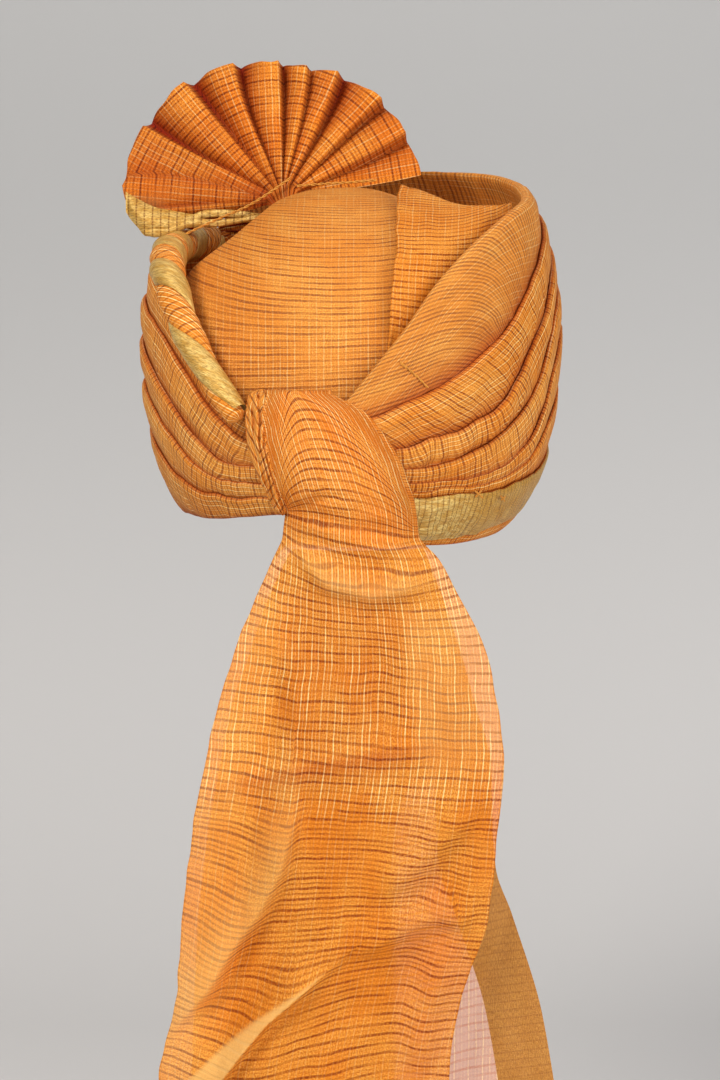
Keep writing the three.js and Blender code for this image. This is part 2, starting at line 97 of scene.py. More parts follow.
# Draws the last rows of a grid together, each towards its own middle
def gatherEnd(points, shares):
    for i, share in enumerate(shares):
        points[-1 - i] = mix(points[-1 - i], points[-1 - i].mean(0), share)


# Smooth noise from -1 to 1, one cell for each unit of a and b
def softNoise(seed, a, b):
    a, b = np.broadcast_arrays(np.asarray(a, float), np.asarray(b, float))
    i, j = np.floor(a), np.floor(b)
    s, t = ease(0, 1, a - i), ease(0, 1, b - j)
    stepI, stepJ, stepSeed, spread = 127.1, 311.7, 74.7, 43758.5453  # they scatter the corners' values

    def corner(di, dj):
        h = np.sin((i + di) * stepI + (j + dj) * stepJ + seed * stepSeed) * spread
        return 2 * (h - np.floor(h)) - 1

    low = mix(corner(0, 0), corner(1, 0), s)
    high = mix(corner(0, 1), corner(1, 1), s)
    return mix(low, high, t)


# How far a set of creases lifts the cloth.
# Each crease is its height, its width on the right and on the left, and the points along it
def creaseField(a, b, creases):
    lift = np.zeros(np.broadcast(a, b).shape)
    endShare, endHeight = 0.3, 0.2  # a crease runs out over its last part
    for height, rightWidth, leftWidth, points in creases:
        nearest = np.full(lift.shape, np.inf)
        along = np.zeros(lift.shape)
        side = np.zeros(lift.shape)
        spans = [math.dist(p, q) for p, q in zip(points, points[1:])]
        done = 0.0
        for (a0, b0), (a1, b1), span in zip(points, points[1:], spans):
            t = np.clip(((a - a0) * (a1 - a0) + (b - b0) * (b1 - b0)) / span**2, 0, 1)
            d = np.hypot(a - mix(a0, a1, t), b - mix(b0, b1, t))
            closer = d < nearest
            nearest = np.where(closer, d, nearest)
            side = np.where(closer, (a1 - a0) * (b - b0) - (b1 - b0) * (a - a0), side)
            along = np.where(closer, done + t * span, along)
            done += span
        taper = ease(0, endShare, along / done) * ease(1, 1 - endShare, along / done)
        width = np.where(side < 0, rightWidth, leftWidth)
        lift += height * mix(endHeight, 1, taper) * np.exp(-((nearest / width) ** 2))
    return lift


# Meshes

# A sheet from grids of points and their flat places on the loom, in millimetres.
# Looks are values for the weave, one for the sheet or one for each point
def clothMesh(name, grids, facingFrom, material, looks):
    verts, quads, flats = [], [], []
    for points, flat in grids:
        rows, columns = points.shape[:2]
        start = sum(len(v) for v in verts)
        index = start + np.arange(rows * columns).reshape(rows, columns)
        corners = [index[:-1, :-1], index[:-1, 1:], index[1:, 1:], index[1:, :-1]]
        quad = np.stack(corners, -1).reshape(-1, 4)
        flatPoints = points.reshape(-1, 3)
        corner = flatPoints[quad - start]
        normal = np.cross(corner[:, 2] - corner[:, 0], corner[:, 3] - corner[:, 1])
        outward = corner.mean(1) - np.array(facingFrom)
        if (normal * outward).sum() < 0:
            quad = quad[:, ::-1]
        verts.append(flatPoints)
        flats.append(flat.reshape(-1, 2))
        quads.append(quad)
    allVerts, allFlats, allQuads = np.concatenate(verts), np.concatenate(flats), np.concatenate(quads)
    mesh = bpy.data.meshes.new(name)
    mesh.from_pydata((allVerts * mm).tolist(), [], allQuads.tolist())
    layer = mesh.uv_layers.new(name="weave")
    layer.data.foreach_set("uv", (allFlats[allQuads.ravel()] * mm).ravel())
    for key, value in looks.items():
        perPoint = np.zeros(len(allVerts)) + np.ravel(value)
        mesh.attributes.new(key, "FLOAT", "POINT").data.foreach_set("value", perPoint)
    mesh.shade_smooth()
    mesh.materials.append(material)
    piece = bpy.data.objects.new(name, mesh)
    bpy.context.scene.collection.objects.link(piece)
    return piece


def finishSheet(piece, spec):
    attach(piece, "root")
    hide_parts(*spec["nodes"])
    area = sum(p.area for p in piece.data.polygons)
    print(f"piece: {piece.name}, area {area:.4f}, flat {spec['flat'][0] * spec['flat'][1]:.4f}")


# Materials

def linear(hexCode):
    parts = [int(hexCode[i:i + 2], 16) / 255 for i in (1, 3, 5)]
    return tuple(p / 12.92 if p <= 0.04045 else ((p + 0.055) / 1.055) ** 2.4 for p in parts) + (1,)


# Adds a node with its settings and links, and gives one of its outputs
def addNode(tree, kind, settings, inputs, output=0):
    node = tree.nodes.new(kind)
    for key, value in settings.items():
        setattr(node, key, value)
    for key, value in inputs.items():
        if isinstance(value, bpy.types.NodeSocket):
            tree.links.new(value, node.inputs[key])
        else:
            node.inputs[key].default_value = value
    return node.outputs[output] if node.outputs else None


def startMaterial(name):
    material = bpy.data.materials.new(name)
    material.use_nodes = True
    material.node_tree.nodes.clear()
    return material, material.node_tree


# Kinds of node and their settings. A range's inputs are the value, from low, from high, to low and to high.
# A mix's inputs are the share and, at 6 and 7, its two colours, and its colour comes out at 2
mathNode, rangeNode, mixNode = "ShaderNodeMath", "ShaderNodeMapRange", "ShaderNodeMix"
noiseNode, mappingNode, valueNode = "ShaderNodeTexNoise", "ShaderNodeMapping", "ShaderNodeAttribute"
plus, minus, times = {"operation": "ADD"}, {"operation": "SUBTRACT"}, {"operation": "MULTIPLY"}
timesPlus, larger = {"operation": "MULTIPLY_ADD"}, {"operation": "MAXIMUM"}
pingPong = {"operation": "PINGPONG"}
smooth, flatNoise = {"interpolation_type": "SMOOTHSTEP"}, {"noise_dimensions": "2D"}
blend, deepen = {"data_type": "RGBA"}, {"data_type": "RGBA", "blend_type": "MULTIPLY"}

# The check: dark weft lines and pale warp lines, each with a weaker line halfway.
# A line's two half widths are where it ends and where it is full.
# Noise is its cell across, along, and its detail
weave = {
    "weftPitch": 4.75, "weftHalf": (0.92, 0.34), "weftBetweenHalf": (0.65, 0.2), "weftBetweenShare": 0.22,
    "warpPitch": 3.85, "warpHalf": (0.46, 0.14), "warpBetweenHalf": (0.34, 0.1), "warpBetweenShare": 0.35,
    "boldHalf": 0.6, "weftWander": 1.9, "warpWander": 1.2, "bumpDepth": 0.5,
    "noise": {"wander": (30, 22, 2), "weftPatch": (34, 6, 3), "warpPatch": (5, 38, 4),
              "weftDash": (0.9, 1.2, 1), "cloud": (45, 60, 3), "grain": (0.6, 0.75, 2),
              "crinkle": (11, 4, 3)},
}


# Thin cotton and silk, loosely woven: an orange ground, dark weft lines and fine pale gold warp lines
# that wander. Painted shade turns deep folds a darker red, painted highlights pale some crests, and single
# layers let the light through
def checkedCloth(name, tones, cellAlpha):
    material, tree = startMaterial(name)
    colour = {key: linear(tone) for key, tone in tones.items()}
    given = {}
    for key in ("faint", "dense", "bold", "pale", "shade", "solid"):
        given[key] = addNode(tree, valueNode, {"attribute_name": key}, {}, "Fac")
    uv = addNode(tree, "ShaderNodeUVMap", {"uv_map": "weave"}, {})
    place = addNode(tree, "ShaderNodeSeparateXYZ", {}, {0: uv}).node.outputs
    noise = {}
    for key, (across, along, detail) in weave["noise"].items():
        cells = addNode(tree, mappingNode, {}, {"Vector": uv, "Scale": (1000 / across, 1000 / along, 1)})
        noise[key] = addNode(tree, noiseNode, flatNoise, {
            "Vector": cells, "Scale": 1.0, "Detail": detail, "Roughness": 0.6})

    # How far a point is from the nearest weft and warp line
    weftMiddle, warpMiddle = weave["weftPitch"] / 2 * mm, weave["warpPitch"] / 2 * mm
    weftWander, warpWander = weave["weftWander"] * mm, weave["warpWander"] * mm
    weftAt = addNode(tree, mathNode, timesPlus, {0: noise["wander"], 1: weftWander, 2: place[1]})
    warpAt = addNode(tree, mathNode, timesPlus, {0: noise["wander"], 1: warpWander, 2: place[0]})
    weftFrom = addNode(tree, mathNode, pingPong, {0: weftAt, 1: weftMiddle})
    warpFrom = addNode(tree, mathNode, pingPong, {0: warpAt, 1: warpMiddle})

    # Dark lines, broken into dashes
    weftNear = addNode(tree, mathNode, timesPlus, {0: given["bold"], 1: -weave["boldHalf"] * mm, 2: weftFrom})
    weftEnd, weftFull = [half * mm for half in weave["weftHalf"]]
    weftMain = addNode(tree, rangeNode, smooth, {0: weftNear, 1: weftEnd, 2: weftFull})
    weftEnd, weftFull = [weftMiddle - half * mm for half in weave["weftBetweenHalf"]]
    weftBetween = addNode(tree, rangeNode, smooth, {0: weftFrom, 1: weftEnd, 2: weftFull})
    betweenShare = addNode(tree, mathNode, plus, {0: given["dense"], 1: weave["weftBetweenShare"]})
    weftSecond = addNode(tree, mathNode, times, {0: weftBetween, 1: betweenShare})
    weftLine = addNode(tree, mathNode, larger, {0: weftMain, 1: weftSecond})
    weftPatch = addNode(tree, rangeNode, smooth, {0: noise["weftPatch"], 1: 0.32, 2: 0.6, 3: 0.35, 4: 1})
    weftDash = addNode(tree, rangeNode, smooth, {0: noise["weftDash"], 1: 0.3, 2: 0.6, 3: 0.55, 4: 1})
    weftPatched = addNode(tree, mathNode, times, {0: weftLine, 1: weftPatch})
    weft = addNode(tree, mathNode, times, {0: weftPatched, 1: weftDash})

    # Pale lines, which pass under the dark ones
    warpEnd, warpFull = [half * mm for half in weave["warpHalf"]]
    warpMain = addNode(tree, rangeNode, smooth, {0: warpFrom, 1: warpEnd, 2: warpFull})
    warpEnd, warpFull = [warpMiddle - half * mm for half in weave["warpBetweenHalf"]]
    warpSecond = addNode(tree, rangeNode, smooth, {
        0: warpFrom, 1: warpEnd, 2: warpFull, 3: 0, 4: weave["warpBetweenShare"]})
    warpLine = addNode(tree, mathNode, larger, {0: warpMain, 1: warpSecond})
    warpPatch = addNode(tree, rangeNode, smooth, {0: noise["warpPatch"], 1: 0.36, 2: 0.64, 3: 0.25, 4: 1})
    warpPatched = addNode(tree, mathNode, times, {0: warpLine, 1: warpPatch})
    over = addNode(tree, mathNode, timesPlus, {0: weftLine, 1: -0.5, 2: 1.0})
    warpOver = addNode(tree, mathNode, times, {0: warpPatched, 1: over})
    warpShown = addNode(tree, mathNode, minus, {0: 1.0, 1: given["faint"]})
    warp = addNode(tree, mathNode, times, {0: warpOver, 1: warpShown})

    # Colour, from the ground up
    cloud = addNode(tree, rangeNode, smooth, {0: noise["cloud"], 1: 0.35, 2: 0.65})
    ground = addNode(tree, mixNode, blend, {0: cloud, 6: colour["ground"], 7: colour["groundLight"]}, 2)
    grainShare = addNode(tree, rangeNode, smooth, {0: noise["grain"], 1: 0.3, 2: 0.7, 3: 0.95, 4: 0})
    grained = addNode(tree, mixNode, blend, {0: grainShare, 6: ground, 7: colour["grain"]}, 2)
    weftShare = addNode(tree, mathNode, times, {0: weft, 1: 0.98})
    lined = addNode(tree, mixNode, blend, {0: weftShare, 6: grained, 7: colour["weft"]}, 2)
    checked = addNode(tree, mixNode, blend, {0: warp, 6: lined, 7: colour["warp"]}, 2)
    # Painted light: 'pale' mixes towards the pale tone, as a painted highlight on some pieces; 'shade'
    # multiplies towards the deep red tone as painted shade
    paled = addNode(tree, mixNode, blend, {0: given["pale"], 6: checked, 7: colour["pale"]}, 2)
    deepened = addNode(tree, mixNode, deepen, {0: given["shade"], 6: paled, 7: colour["deep"]}, 2)

    # Fine relief: crinkles, sunk weft lines and raised warp lines
    grainRelief = addNode(tree, mathNode, times, {0: noise["grain"], 1: 0.5})
    crinkled = addNode(tree, mathNode, timesPlus, {0: noise["crinkle"], 1: 2.2, 2: grainRelief})
    ribbed = addNode(tree, mathNode, timesPlus, {0: weftLine, 1: -0.7, 2: crinkled})
    relief = addNode(tree, mathNode, timesPlus, {0: warp, 1: 0.4, 2: ribbed})
    bump = addNode(tree, "ShaderNodeBump", {}, {
        "Height": relief, "Strength": 0.5, "Distance": weave["bumpDepth"] * mm})
    surface = {"Base Color": deepened, "Roughness": 0.7, "Specular IOR Level": 0.15, "Sheen Weight": 0.05,
               "Sheen Roughness": 0.45, "Sheen Tint": colour["groundLight"], "Normal": bump}
    if cellAlpha < 1:
        threads = addNode(tree, mathNode, larger, {0: weft, 1: warp})
        cover = addNode(tree, rangeNode, smooth, {0: threads, 1: 0, 2: 1, 3: cellAlpha, 4: 0.97})
        surface["Alpha"] = addNode(tree, mathNode, larger, {0: cover, 1: given["solid"]})
    shader = addNode(tree, "ShaderNodeBsdfPrincipled", {}, surface)
    addNode(tree, "ShaderNodeOutputMaterial", {}, {0: shader})
    return material


# The gold border's dotted lines, and its noise as in the check
goldWeave = {
    "ribPitch": 4.6, "ribHalf": (0.7, 0.2), "dotPitch": 1.6, "dotHalf": (0.65, 0.2), "bumpDepth": 0.6,
    "noise": {"grain": (0.5, 2.4, 3), "cross": (3.0, 0.45, 2), "crumple": (2.4, 9, 2), "patch": (9, 14, 4)},
}


# Zari, a border woven of flat metal thread: a soft gold shine in fine ribs, dotted dark lines across it,
# and painted highlights, pale glints, where it is crumpled
def goldBorder(name, tones, ribShare, metal):
    material, tree = startMaterial(name)
    colour = {key: linear(tone) for key, tone in tones.items()}
    shine = addNode(tree, valueNode, {"attribute_name": "shine"}, {}, "Fac")
    uv = addNode(tree, "ShaderNodeUVMap", {"uv_map": "weave"}, {})
    place = addNode(tree, "ShaderNodeSeparateXYZ", {}, {0: uv}).node.outputs
    noise = {}
    for key, (across, along, detail) in goldWeave["noise"].items():
        cells = addNode(tree, mappingNode, {}, {"Vector": uv, "Scale": (1000 / across, 1000 / along, 1)})
        noise[key] = addNode(tree, noiseNode, flatNoise, {
            "Vector": cells, "Scale": 1.0, "Detail": detail, "Roughness": 0.6})
    # Painted highlights: pale glints where the shine value is high, together with random pale patches
    crest = addNode(tree, rangeNode, smooth, {0: noise["crumple"], 1: 0.3, 2: 0.7, 3: 0.2, 4: 1})
    glint = addNode(tree, mathNode, times, {0: crest, 1: shine})
    patch = addNode(tree, rangeNode, smooth, {0: noise["patch"], 1: 0.3, 2: 0.75, 3: 0, 4: 0.3})
    bright = addNode(tree, mathNode, larger, {0: patch, 1: glint})

    dotEnd, dotFull = [half * mm for half in goldWeave["dotHalf"]]
    dotFrom = addNode(tree, mathNode, pingPong, {0: place[0], 1: goldWeave["dotPitch"] / 2 * mm})
    dots = addNode(tree, rangeNode, smooth, {0: dotFrom, 1: dotEnd, 2: dotFull, 3: 0.45, 4: 1})
    ribEnd, ribFull = [half * mm for half in goldWeave["ribHalf"]]
    ribFrom = addNode(tree, mathNode, pingPong, {0: place[1], 1: goldWeave["ribPitch"] / 2 * mm})
    ribLine = addNode(tree, rangeNode, smooth, {0: ribFrom, 1: ribEnd, 2: ribFull, 3: 0, 4: ribShare})
    rib = addNode(tree, mathNode, times, {0: ribLine, 1: dots})

    ground = addNode(tree, mixNode, blend, {0: bright, 6: colour["gold"], 7: colour["goldLight"]}, 2)
    grainShare = addNode(tree, rangeNode, smooth, {0: noise["grain"], 1: 0.3, 2: 0.65, 3: 0.6, 4: 0})
    worn = addNode(tree, mixNode, blend, {0: grainShare, 6: ground, 7: colour["goldDark"]}, 2)
    ribbed = addNode(tree, mixNode, blend, {0: rib, 6: worn, 7: colour["goldDark"]}, 2)
    crumpled = addNode(tree, mathNode, times, {0: noise["crumple"], 1: shine})
    crushed = addNode(tree, mathNode, times, {0: crumpled, 1: 1.6})
    fine = addNode(tree, mathNode, plus, {0: noise["grain"], 1: noise["cross"]})
    relief = addNode(tree, mathNode, plus, {0: fine, 1: crushed})
    bump = addNode(tree, "ShaderNodeBump", {}, {
        "Height": relief, "Strength": 0.5, "Distance": goldWeave["bumpDepth"] * mm})
    shader = addNode(tree, "ShaderNodeBsdfPrincipled", {}, {
        "Base Color": ribbed, "Metallic": metal, "Roughness": 0.42, "Specular IOR Level": 0.4,
        "Normal": bump})
    addNode(tree, "ShaderNodeOutputMaterial", {}, {0: shader})
    return material


# Twisted thread: pale gold with a darker fleck
def twistedThread(name, light, dark):
    material, tree = startMaterial(name)
    fleck = 0.625  # across
    place = addNode(tree, "ShaderNodeTexCoord", {}, {}, "Object")
    noise = addNode(tree, noiseNode, {}, {"Vector": place, "Scale": 1000 / fleck, "Detail": 2.0})
    tone = addNode(tree, mixNode, blend, {0: noise, 6: linear(light), 7: linear(dark)}, 2)
    shader = addNode(tree, "ShaderNodeBsdfPrincipled", {}, {"Base Color": tone, "Roughness": 0.5})
    addNode(tree, "ShaderNodeOutputMaterial", {}, {0: shader})
    return material


# 'deep' is the tone of the painted shade; 'pale' is the tone that pale values mix towards, as a painted
# highlight on some pieces
clothTones = {"ground": "#EE8F22", "groundLight": "#F9AC42", "grain": "#C8640C", "weft": "#803000",
              "warp": "#FFEAA4", "deep": "#B84A14", "pale": "#F6C070"}
woundTones = {**clothTones, "ground": "#E48F25", "groundLight": "#F0AA45"}
fanTones = {**clothTones, "ground": "#EA8016", "groundLight": "#F59E32", "weft": "#7A2C00",
            "grain": "#BC5A06", "deep": "#A03E08"}
singleTones = {**clothTones, "weft": "#8A3E12", "pale": "#D8A08C"}
# goldLight is the tone of the random patches and of the painted glints
goldTones = {"gold": "#CC932E", "goldLight": "#FBDA84", "goldDark": "#764409"}
# Painted shade: a darker, more orange copy of the gold for the tail's border, which hangs in shade and partly
# behind the sheer front
shadedGoldTones = {"gold": "#B97A2C", "goldLight": "#CE9342", "goldDark": "#8A5014"}
woundCloth = checkedCloth("checkedCottonSilk", woundTones, 1)
fanCloth = checkedCloth("checkedCottonSilkFan", fanTones, 1)
sheerCloth = checkedCloth("sheerCottonSilk", clothTones, 0.82)
singleCloth = checkedCloth("sheerCottonSilkSingle", singleTones, 0.62)
zariGold = goldBorder("zariBorder", goldTones, 0.8, 0.32)
zariPlain = goldBorder("zariBorderPlain", goldTones, 0.12, 0.35)
zariShaded = goldBorder("zariBorderShaded", shadedGoldTones, 0.45, 0.2)
zariThread = twistedThread("zariThread", "#E9A63A", "#B9691A")
print("stage: materials made")


# Wound body: height, and reach to the sides and to the back
bodyLevels = [
    (-12, 76, 96), (-4, 85, 104), (12, 97, 116), (40, 108, 127), (75, 113.5, 133),
    (110, 114.5, 133), (145, 109.5, 127), (175, 101, 117), (195, 86, 100), (203, 71, 82),
]
bodyWidth, bodyDepth = columnOf(bodyLevels, 1), columnOf(bodyLevels, 2)
bodyCentreX, bodyCentreY = -2.0, 4.0
bodyMiddle = (bodyCentreX, bodyCentreY, 70)
levelPower = 2.15  # a level is a little squarer than an ellipse


# Azimuth is in degrees from the back, towards +X
def onLevel(azimuth, reachX, reachY, z):
    s, c = np.sin(np.radians(azimuth)), np.cos(np.radians(azimuth))
    k = (np.abs(s) ** levelPower + np.abs(c) ** levelPower) ** (-1 / levelPower)
    x, y, z = np.broadcast_arrays(bodyCentreX + reachX * k * s, bodyCentreY - reachY * k * c, z)
    return np.stack([x, y, z], -1)


def bodyAt(azimuth, z):
    return onLevel(azimuth, bodyWidth(z), bodyDepth(z), z)


def bodyOut(azimuth, z, out):
    upward = bodyAt(azimuth, z + 0.5) - bodyAt(azimuth, z - 0.5)
    around = bodyAt(azimuth + 0.5, z) - bodyAt(azimuth - 0.5, z)
    return bodyAt(azimuth, z) + unit(np.cross(around, upward)) * np.asarray(out)[..., None]


# Swathes: relief of each fold and the height of its upper edge, from the rim down
rightAzimuths = [-6, 12, 24, 40, 56, 72, 90, 125, 160, 195, 228]
rightFolds = [
    (5, [62, 106, 136, 160, 173, 180, 187, 195, 197, 191, 171]),
    (5.5, [55, 71, 83, 105, 134, 157, 170, 182, 186, 182, 169]),
    (6, [48, 50, 56, 69, 106, 136, 153, 169, 175, 173, 167]),
    (5.5, [41, 39, 41, 52, 77, 119, 134, 152, 160, 163, 165]),
    (5, [34, 31, 31, 34, 48, 90, 112, 128, 140, 152, 163]),
    (4, [29, 27.5, 27, 29, 36, 60, 80, 98, 118, 140, 161]),
    (4, [25, 24, 23, 24, 27, 32, 42, 64, 98, 130, 159]),
    (2, [10, 4, 1, 0, 3, 6, 13, 34, 68, 104, 155]),
    (0, [4, -1, -4, -5, -4, -2, 2, 23, 57, 96, 152.5]),
]
leftAzimuths = [-13, -26, -36, -46, -58, -72, -90, -125, -160, -195, -242]
leftFolds = [
    (4, [62, 66, 80, 103, 123, 134, 141, 148.5, 149, 138, 106]),
    (5, [54, 52, 64, 85, 106, 119, 126, 131, 128, 116, 92]),
    (5.5, [46, 39, 41, 55, 77, 94, 104, 110, 106, 95, 78]),
    (5, [36, 30, 31, 37, 54, 72, 81, 87, 84, 76, 64]),
    (4.5, [28, 23, 22, 23, 30, 43, 55, 63, 62, 57, 48]),
    (0, [15, 13, 11, 9, 8, 8, 7, 12, 24, 28, 22]),
]
narrowFold, leastFold = 17.0, 1.0  # a fold narrower than this is flatter, and none is narrower than that
pressed = 0.82  # share of the relief that is left where the folds press on each other
clothDrawnIn = 1.36  # the weave is drawn in along a swathe
frontShares = np.linspace(0.05, 0.985, 13)
frontProfile = through([0, 0.05, 0.12, 0.35, 0.6, 0.8, 0.93, 1],
                       [0.86, 0.97, 1, 0.93, 0.77, 0.58, 0.42, 0.3])
# Down from a fold's edge, and out as a share of its relief:
# the cloth comes from under the edge and turns over it
hiddenTurn = [(5.0, 0.16), (1.6, 0.3), (-0.2, 0.4), (-0.95, 0.54), (-0.75, 0.7), (-0.2, 0.8)]
# Down and out at the rim, from the inside, and at the lower edge
rimTurn = [(32, -7.8), (20, -6.6), (11, -5.2), (5, -3.8), (1, -2.7), (-0.8, -1.1), (-1.2, 0.7), (-0.4, 2.3)]
endTurn = [(0.5, -0.6), (0.9, -2.6), (0, -5.2), (-6, -7.4), (-16, -7.8)]
edgeWaves = [(0.9, 7), (0.5, 2.6)]  # height, and degrees along the edge
frontWaves = [(0.55, 20, 26, 7), (0.3, 40, 7, 11)]  # height, seed, length along the fold and across it
gatherShares = (0.8, 0.45, 0.25, 0.12, 0.04)
rightEndEdge = through(rightAzimuths, rightFolds[-1][1])


# Where the right swathe lies over the left one: 1 well under it, 0 clear of it
def tuckedUnder(azimuth, z):
    under = ease(-30, -4, z - rightEndEdge(azimuth + 360))
    return under * ease(244, 231, azimuth + 360)


# Points of a swathe: azimuth runs along axis 0, the folds along axis 1
def swatheGrid(folds, azimuths, spec):
    seed = spec["seed"]
    stations = np.linspace(azimuths[0], azimuths[-1], spec["stations"])
    fromKnot = np.abs(stations)
    gather = 1 + 0.8 * ease(70, 18, fromKnot)
    edges = []
    for k, (_, heights) in enumerate(folds):
        edge = through(azimuths, heights)(stations)
        if 0 < k < len(folds) - 1:
            for height, span in edgeWaves:
                edge = edge + height * softNoise(seed + k, stations / span, k)
        edges.append(edge)
    for k in range(1, len(edges)):
        edges[k] = np.minimum(edges[k], edges[k - 1] - leastFold)
    columns = []
    for k, (fullRelief, _) in enumerate(folds[:-1]):
        edge, height = edges[k], edges[k] - edges[k + 1]
        size = np.minimum(1, height / narrowFold)
        relief = pressed * fullRelief
        line = bodyAt(stations, edge)
        step = np.gradient(line, axis=0)
        length = lengthAlong(line)
        rise = step[:, 2] / np.linalg.norm(step, axis=1)
        level = np.sqrt(1 - rise**2)
        turn = rimTurn if k == 0 else [(down, relief * share) for down, share in hiddenTurn]
        turnShade = 0.1 if k == 0 else 1.0
        ahead = [math.dist(p, q) for p, q in zip(turn, turn[1:])] + [1.0]
        # Down, out, place on the loom where it is behind the edge, and painted shade: full under the edge,
        # slight on the rim's inside, rising towards each fold's lower edge
        points = [(down * size, out * size, -sum(ahead[j:]), turnShade * (1 - 0.12 * j))
                  for j, (down, out) in enumerate(turn)]
        points += [(share * height, relief * size * frontProfile(share), None, 0.75 * share**5)
                   for share in frontShares]
        if k == len(folds) - 2:
            points += [(height + down, out + 0 * size, None, 0.3) for down, out in endTurn]
        foldU, foldV = 37.3 * k, 11.9 * k  # each fold shows another part of the weave
        shear = spec["shear"].get(k, 0) * ease(64, 34, stations)
        for down, out, behind, shade in points:
            u = (down if behind is None else behind + 0 * down) * level * gather + foldU
            v = length - down * rise + foldV - shear * (u - foldU)
            if behind is None:
                soft = sum(wave * softNoise(seed + more + k, v / along, u / across)
                           for wave, more, along, across in frontWaves)
                gathers = softNoise(seed + 60 + k, v / 46, u / 4.2) * ease(62, 22, fromKnot)
                out = out + size * (soft * (0.8 + 0.8 * ease(60, 15, fromKnot)) + 0.75 * gathers)
            columns.append((edge - down, out, u, clothDrawnIn * v, shade + 0 * u))
    z, out, u, v, shade = [np.stack([c[i] for c in columns], 1) for i in range(5)]
    azimuth = np.repeat(stations[:, None], z.shape[1], 1)
    if spec["tuckDepth"]:
        share = tuckedUnder(azimuth, z)
        out = out * (1 - share) - spec["tuckDepth"] * share
    points = bodyOut(azimuth, z, out)
    gatherEnd(points, gatherShares)
    return points, np.stack([u, v], -1), shade


# The upper two folds are drawn at a slant near the knot
rightSpec = {"nodes": ["right_swathe"], "slot": "checked_cloth", "flat": (0.36, 0.44), "held": "folded",
             "restsOn": ["crown_cloth", "left_swathe"],
             "stations": 262, "seed": 3, "shear": {0: 0.85, 1: 0.35}, "tuckDepth": 0}
rightPoints, rightFlat, rightShade = swatheGrid(rightFolds, rightAzimuths, rightSpec)
upperFold = np.zeros(rightShade.shape)
upperFold[:, :len(rimTurn) + len(frontShares)] = 1  # a single bright layer with clear dark lines
rightLooks = {"shade": rightShade, "faint": 0.3 + 0.3 * upperFold, "dense": 0.4 * (1 - upperFold),
              "pale": 0.11 * upperFold, "bold": 0.75 * upperFold + 0.2}
rightSwathe = clothMesh("rightSwathe", [(rightPoints, rightFlat)], bodyMiddle, woundCloth, rightLooks)
finishSheet(rightSwathe, rightSpec)

# The gold border lies on the lowest wide fold, a thread's thickness over it.
# Small folds run out from where the knot grips it, and painted highlights, pale glints, lie there
rightBorderSpec = {"nodes": ["right_border"], "slot": "gold_border", "flat": (0.034, 0.43), "held": "folded",
                   "restsOn": ["right_swathe"],
                   "fold": 6, "endsBefore": 22, "lift": 0.35, "grip": (29, 10), "gripBack": -60}
foldColumns = len(hiddenTurn) + len(frontShares)
borderFirst = len(rimTurn) + rightBorderSpec["fold"] * foldColumns - len(hiddenTurn)
borderPart = (slice(None, -rightBorderSpec["endsBefore"]), slice(borderFirst + 2, borderFirst + foldColumns))
borderBase = rightPoints[borderPart]
borderNormal = gridNormals(borderBase)
borderNormal *= np.sign((borderNormal * (borderBase - np.array(bodyMiddle))).sum(-1, keepdims=True))
gripAtX, gripAtZ = rightBorderSpec["grip"]
gripX, gripZ = borderBase[..., 0] - gripAtX, borderBase[..., 2] - gripAtZ
gripAngle, gripReach = np.arctan2(gripZ, gripX), np.hypot(gripX, gripZ)
largeFolds = 0.8 * (1 + softNoise(92, gripAngle * 4.2, 0)) * ease(42, 6, gripReach)
smallFolds = 0.35 * (1 + softNoise(93, gripAngle * 9, gripReach / 12)) * ease(30, 6, gripReach)
atBack = borderBase[..., 1] < rightBorderSpec["gripBack"]
borderLift = np.where(atBack, largeFolds + smallFolds, 0) + rightBorderSpec["lift"]
borderPoints = borderBase + borderLift[..., None] * borderNormal
borderLooks = {"shine": np.where(atBack, ease(52, 16, gripReach), 0)}
borderGrid = (borderPoints, rightFlat[borderPart])
rightBorder = clothMesh("rightBorder", [borderGrid], bodyMiddle, zariGold, borderLooks)
finishSheet(rightBorder, rightBorderSpec)

leftSpec = {"nodes": ["left_swathe"], "slot": "checked_cloth", "flat": (0.25, 0.44), "held": "folded",
            "restsOn": ["crown_cloth"],
            "stations": 256, "seed": 61, "shear": {}, "tuckDepth": 10.5}
leftPoints, leftFlat, leftShade = swatheGrid(leftFolds, leftAzimuths, leftSpec)
# Painted light: a small pale value lifts the whole left swathe, which the lamps leave darker; its shade value
# is painted shade in the folds
leftLooks = {"shade": leftShade, "faint": 0.2, "dense": 0.3, "pale": 0.06, "bold": 0.2}
leftSwathe = clothMesh("leftSwathe", [(leftPoints, leftFlat)], bodyMiddle, woundCloth, leftLooks)
finishSheet(leftSwathe, leftSpec)
print("stage: swathes made")


# Crown: height, and reach to the left, right, back and front
crownLevels = [
    (58, 101.5, 99.6, 121.8, 104), (90, 104, 101.8, 124, 106), (118, 101, 97, 118, 99),
    (141, 90, 87, 106, 80), (159, 68, 66, 88, 46), (172, 52, 46, 68, 28), (181, 39, 29, 45, 15),
    (186, 22, 14, 22, 7), (187.5, 4, 4, 4, 4),
]
crownLow, crownHigh = crownLevels[0][0], crownLevels[-1][0]
crownLeft, crownRight, crownBack, crownFront = [columnOf(crownLevels, i) for i in range(1, 5)]


def crownAt(azimuth, z):
    reachX = np.where(np.sin(np.radians(azimuth)) < 0, crownLeft(z), crownRight(z))
    reachY = np.where(np.cos(np.radians(azimuth)) < 0, crownFront(z), crownBack(z))
    return onLevel(azimuth, reachX, reachY, z)


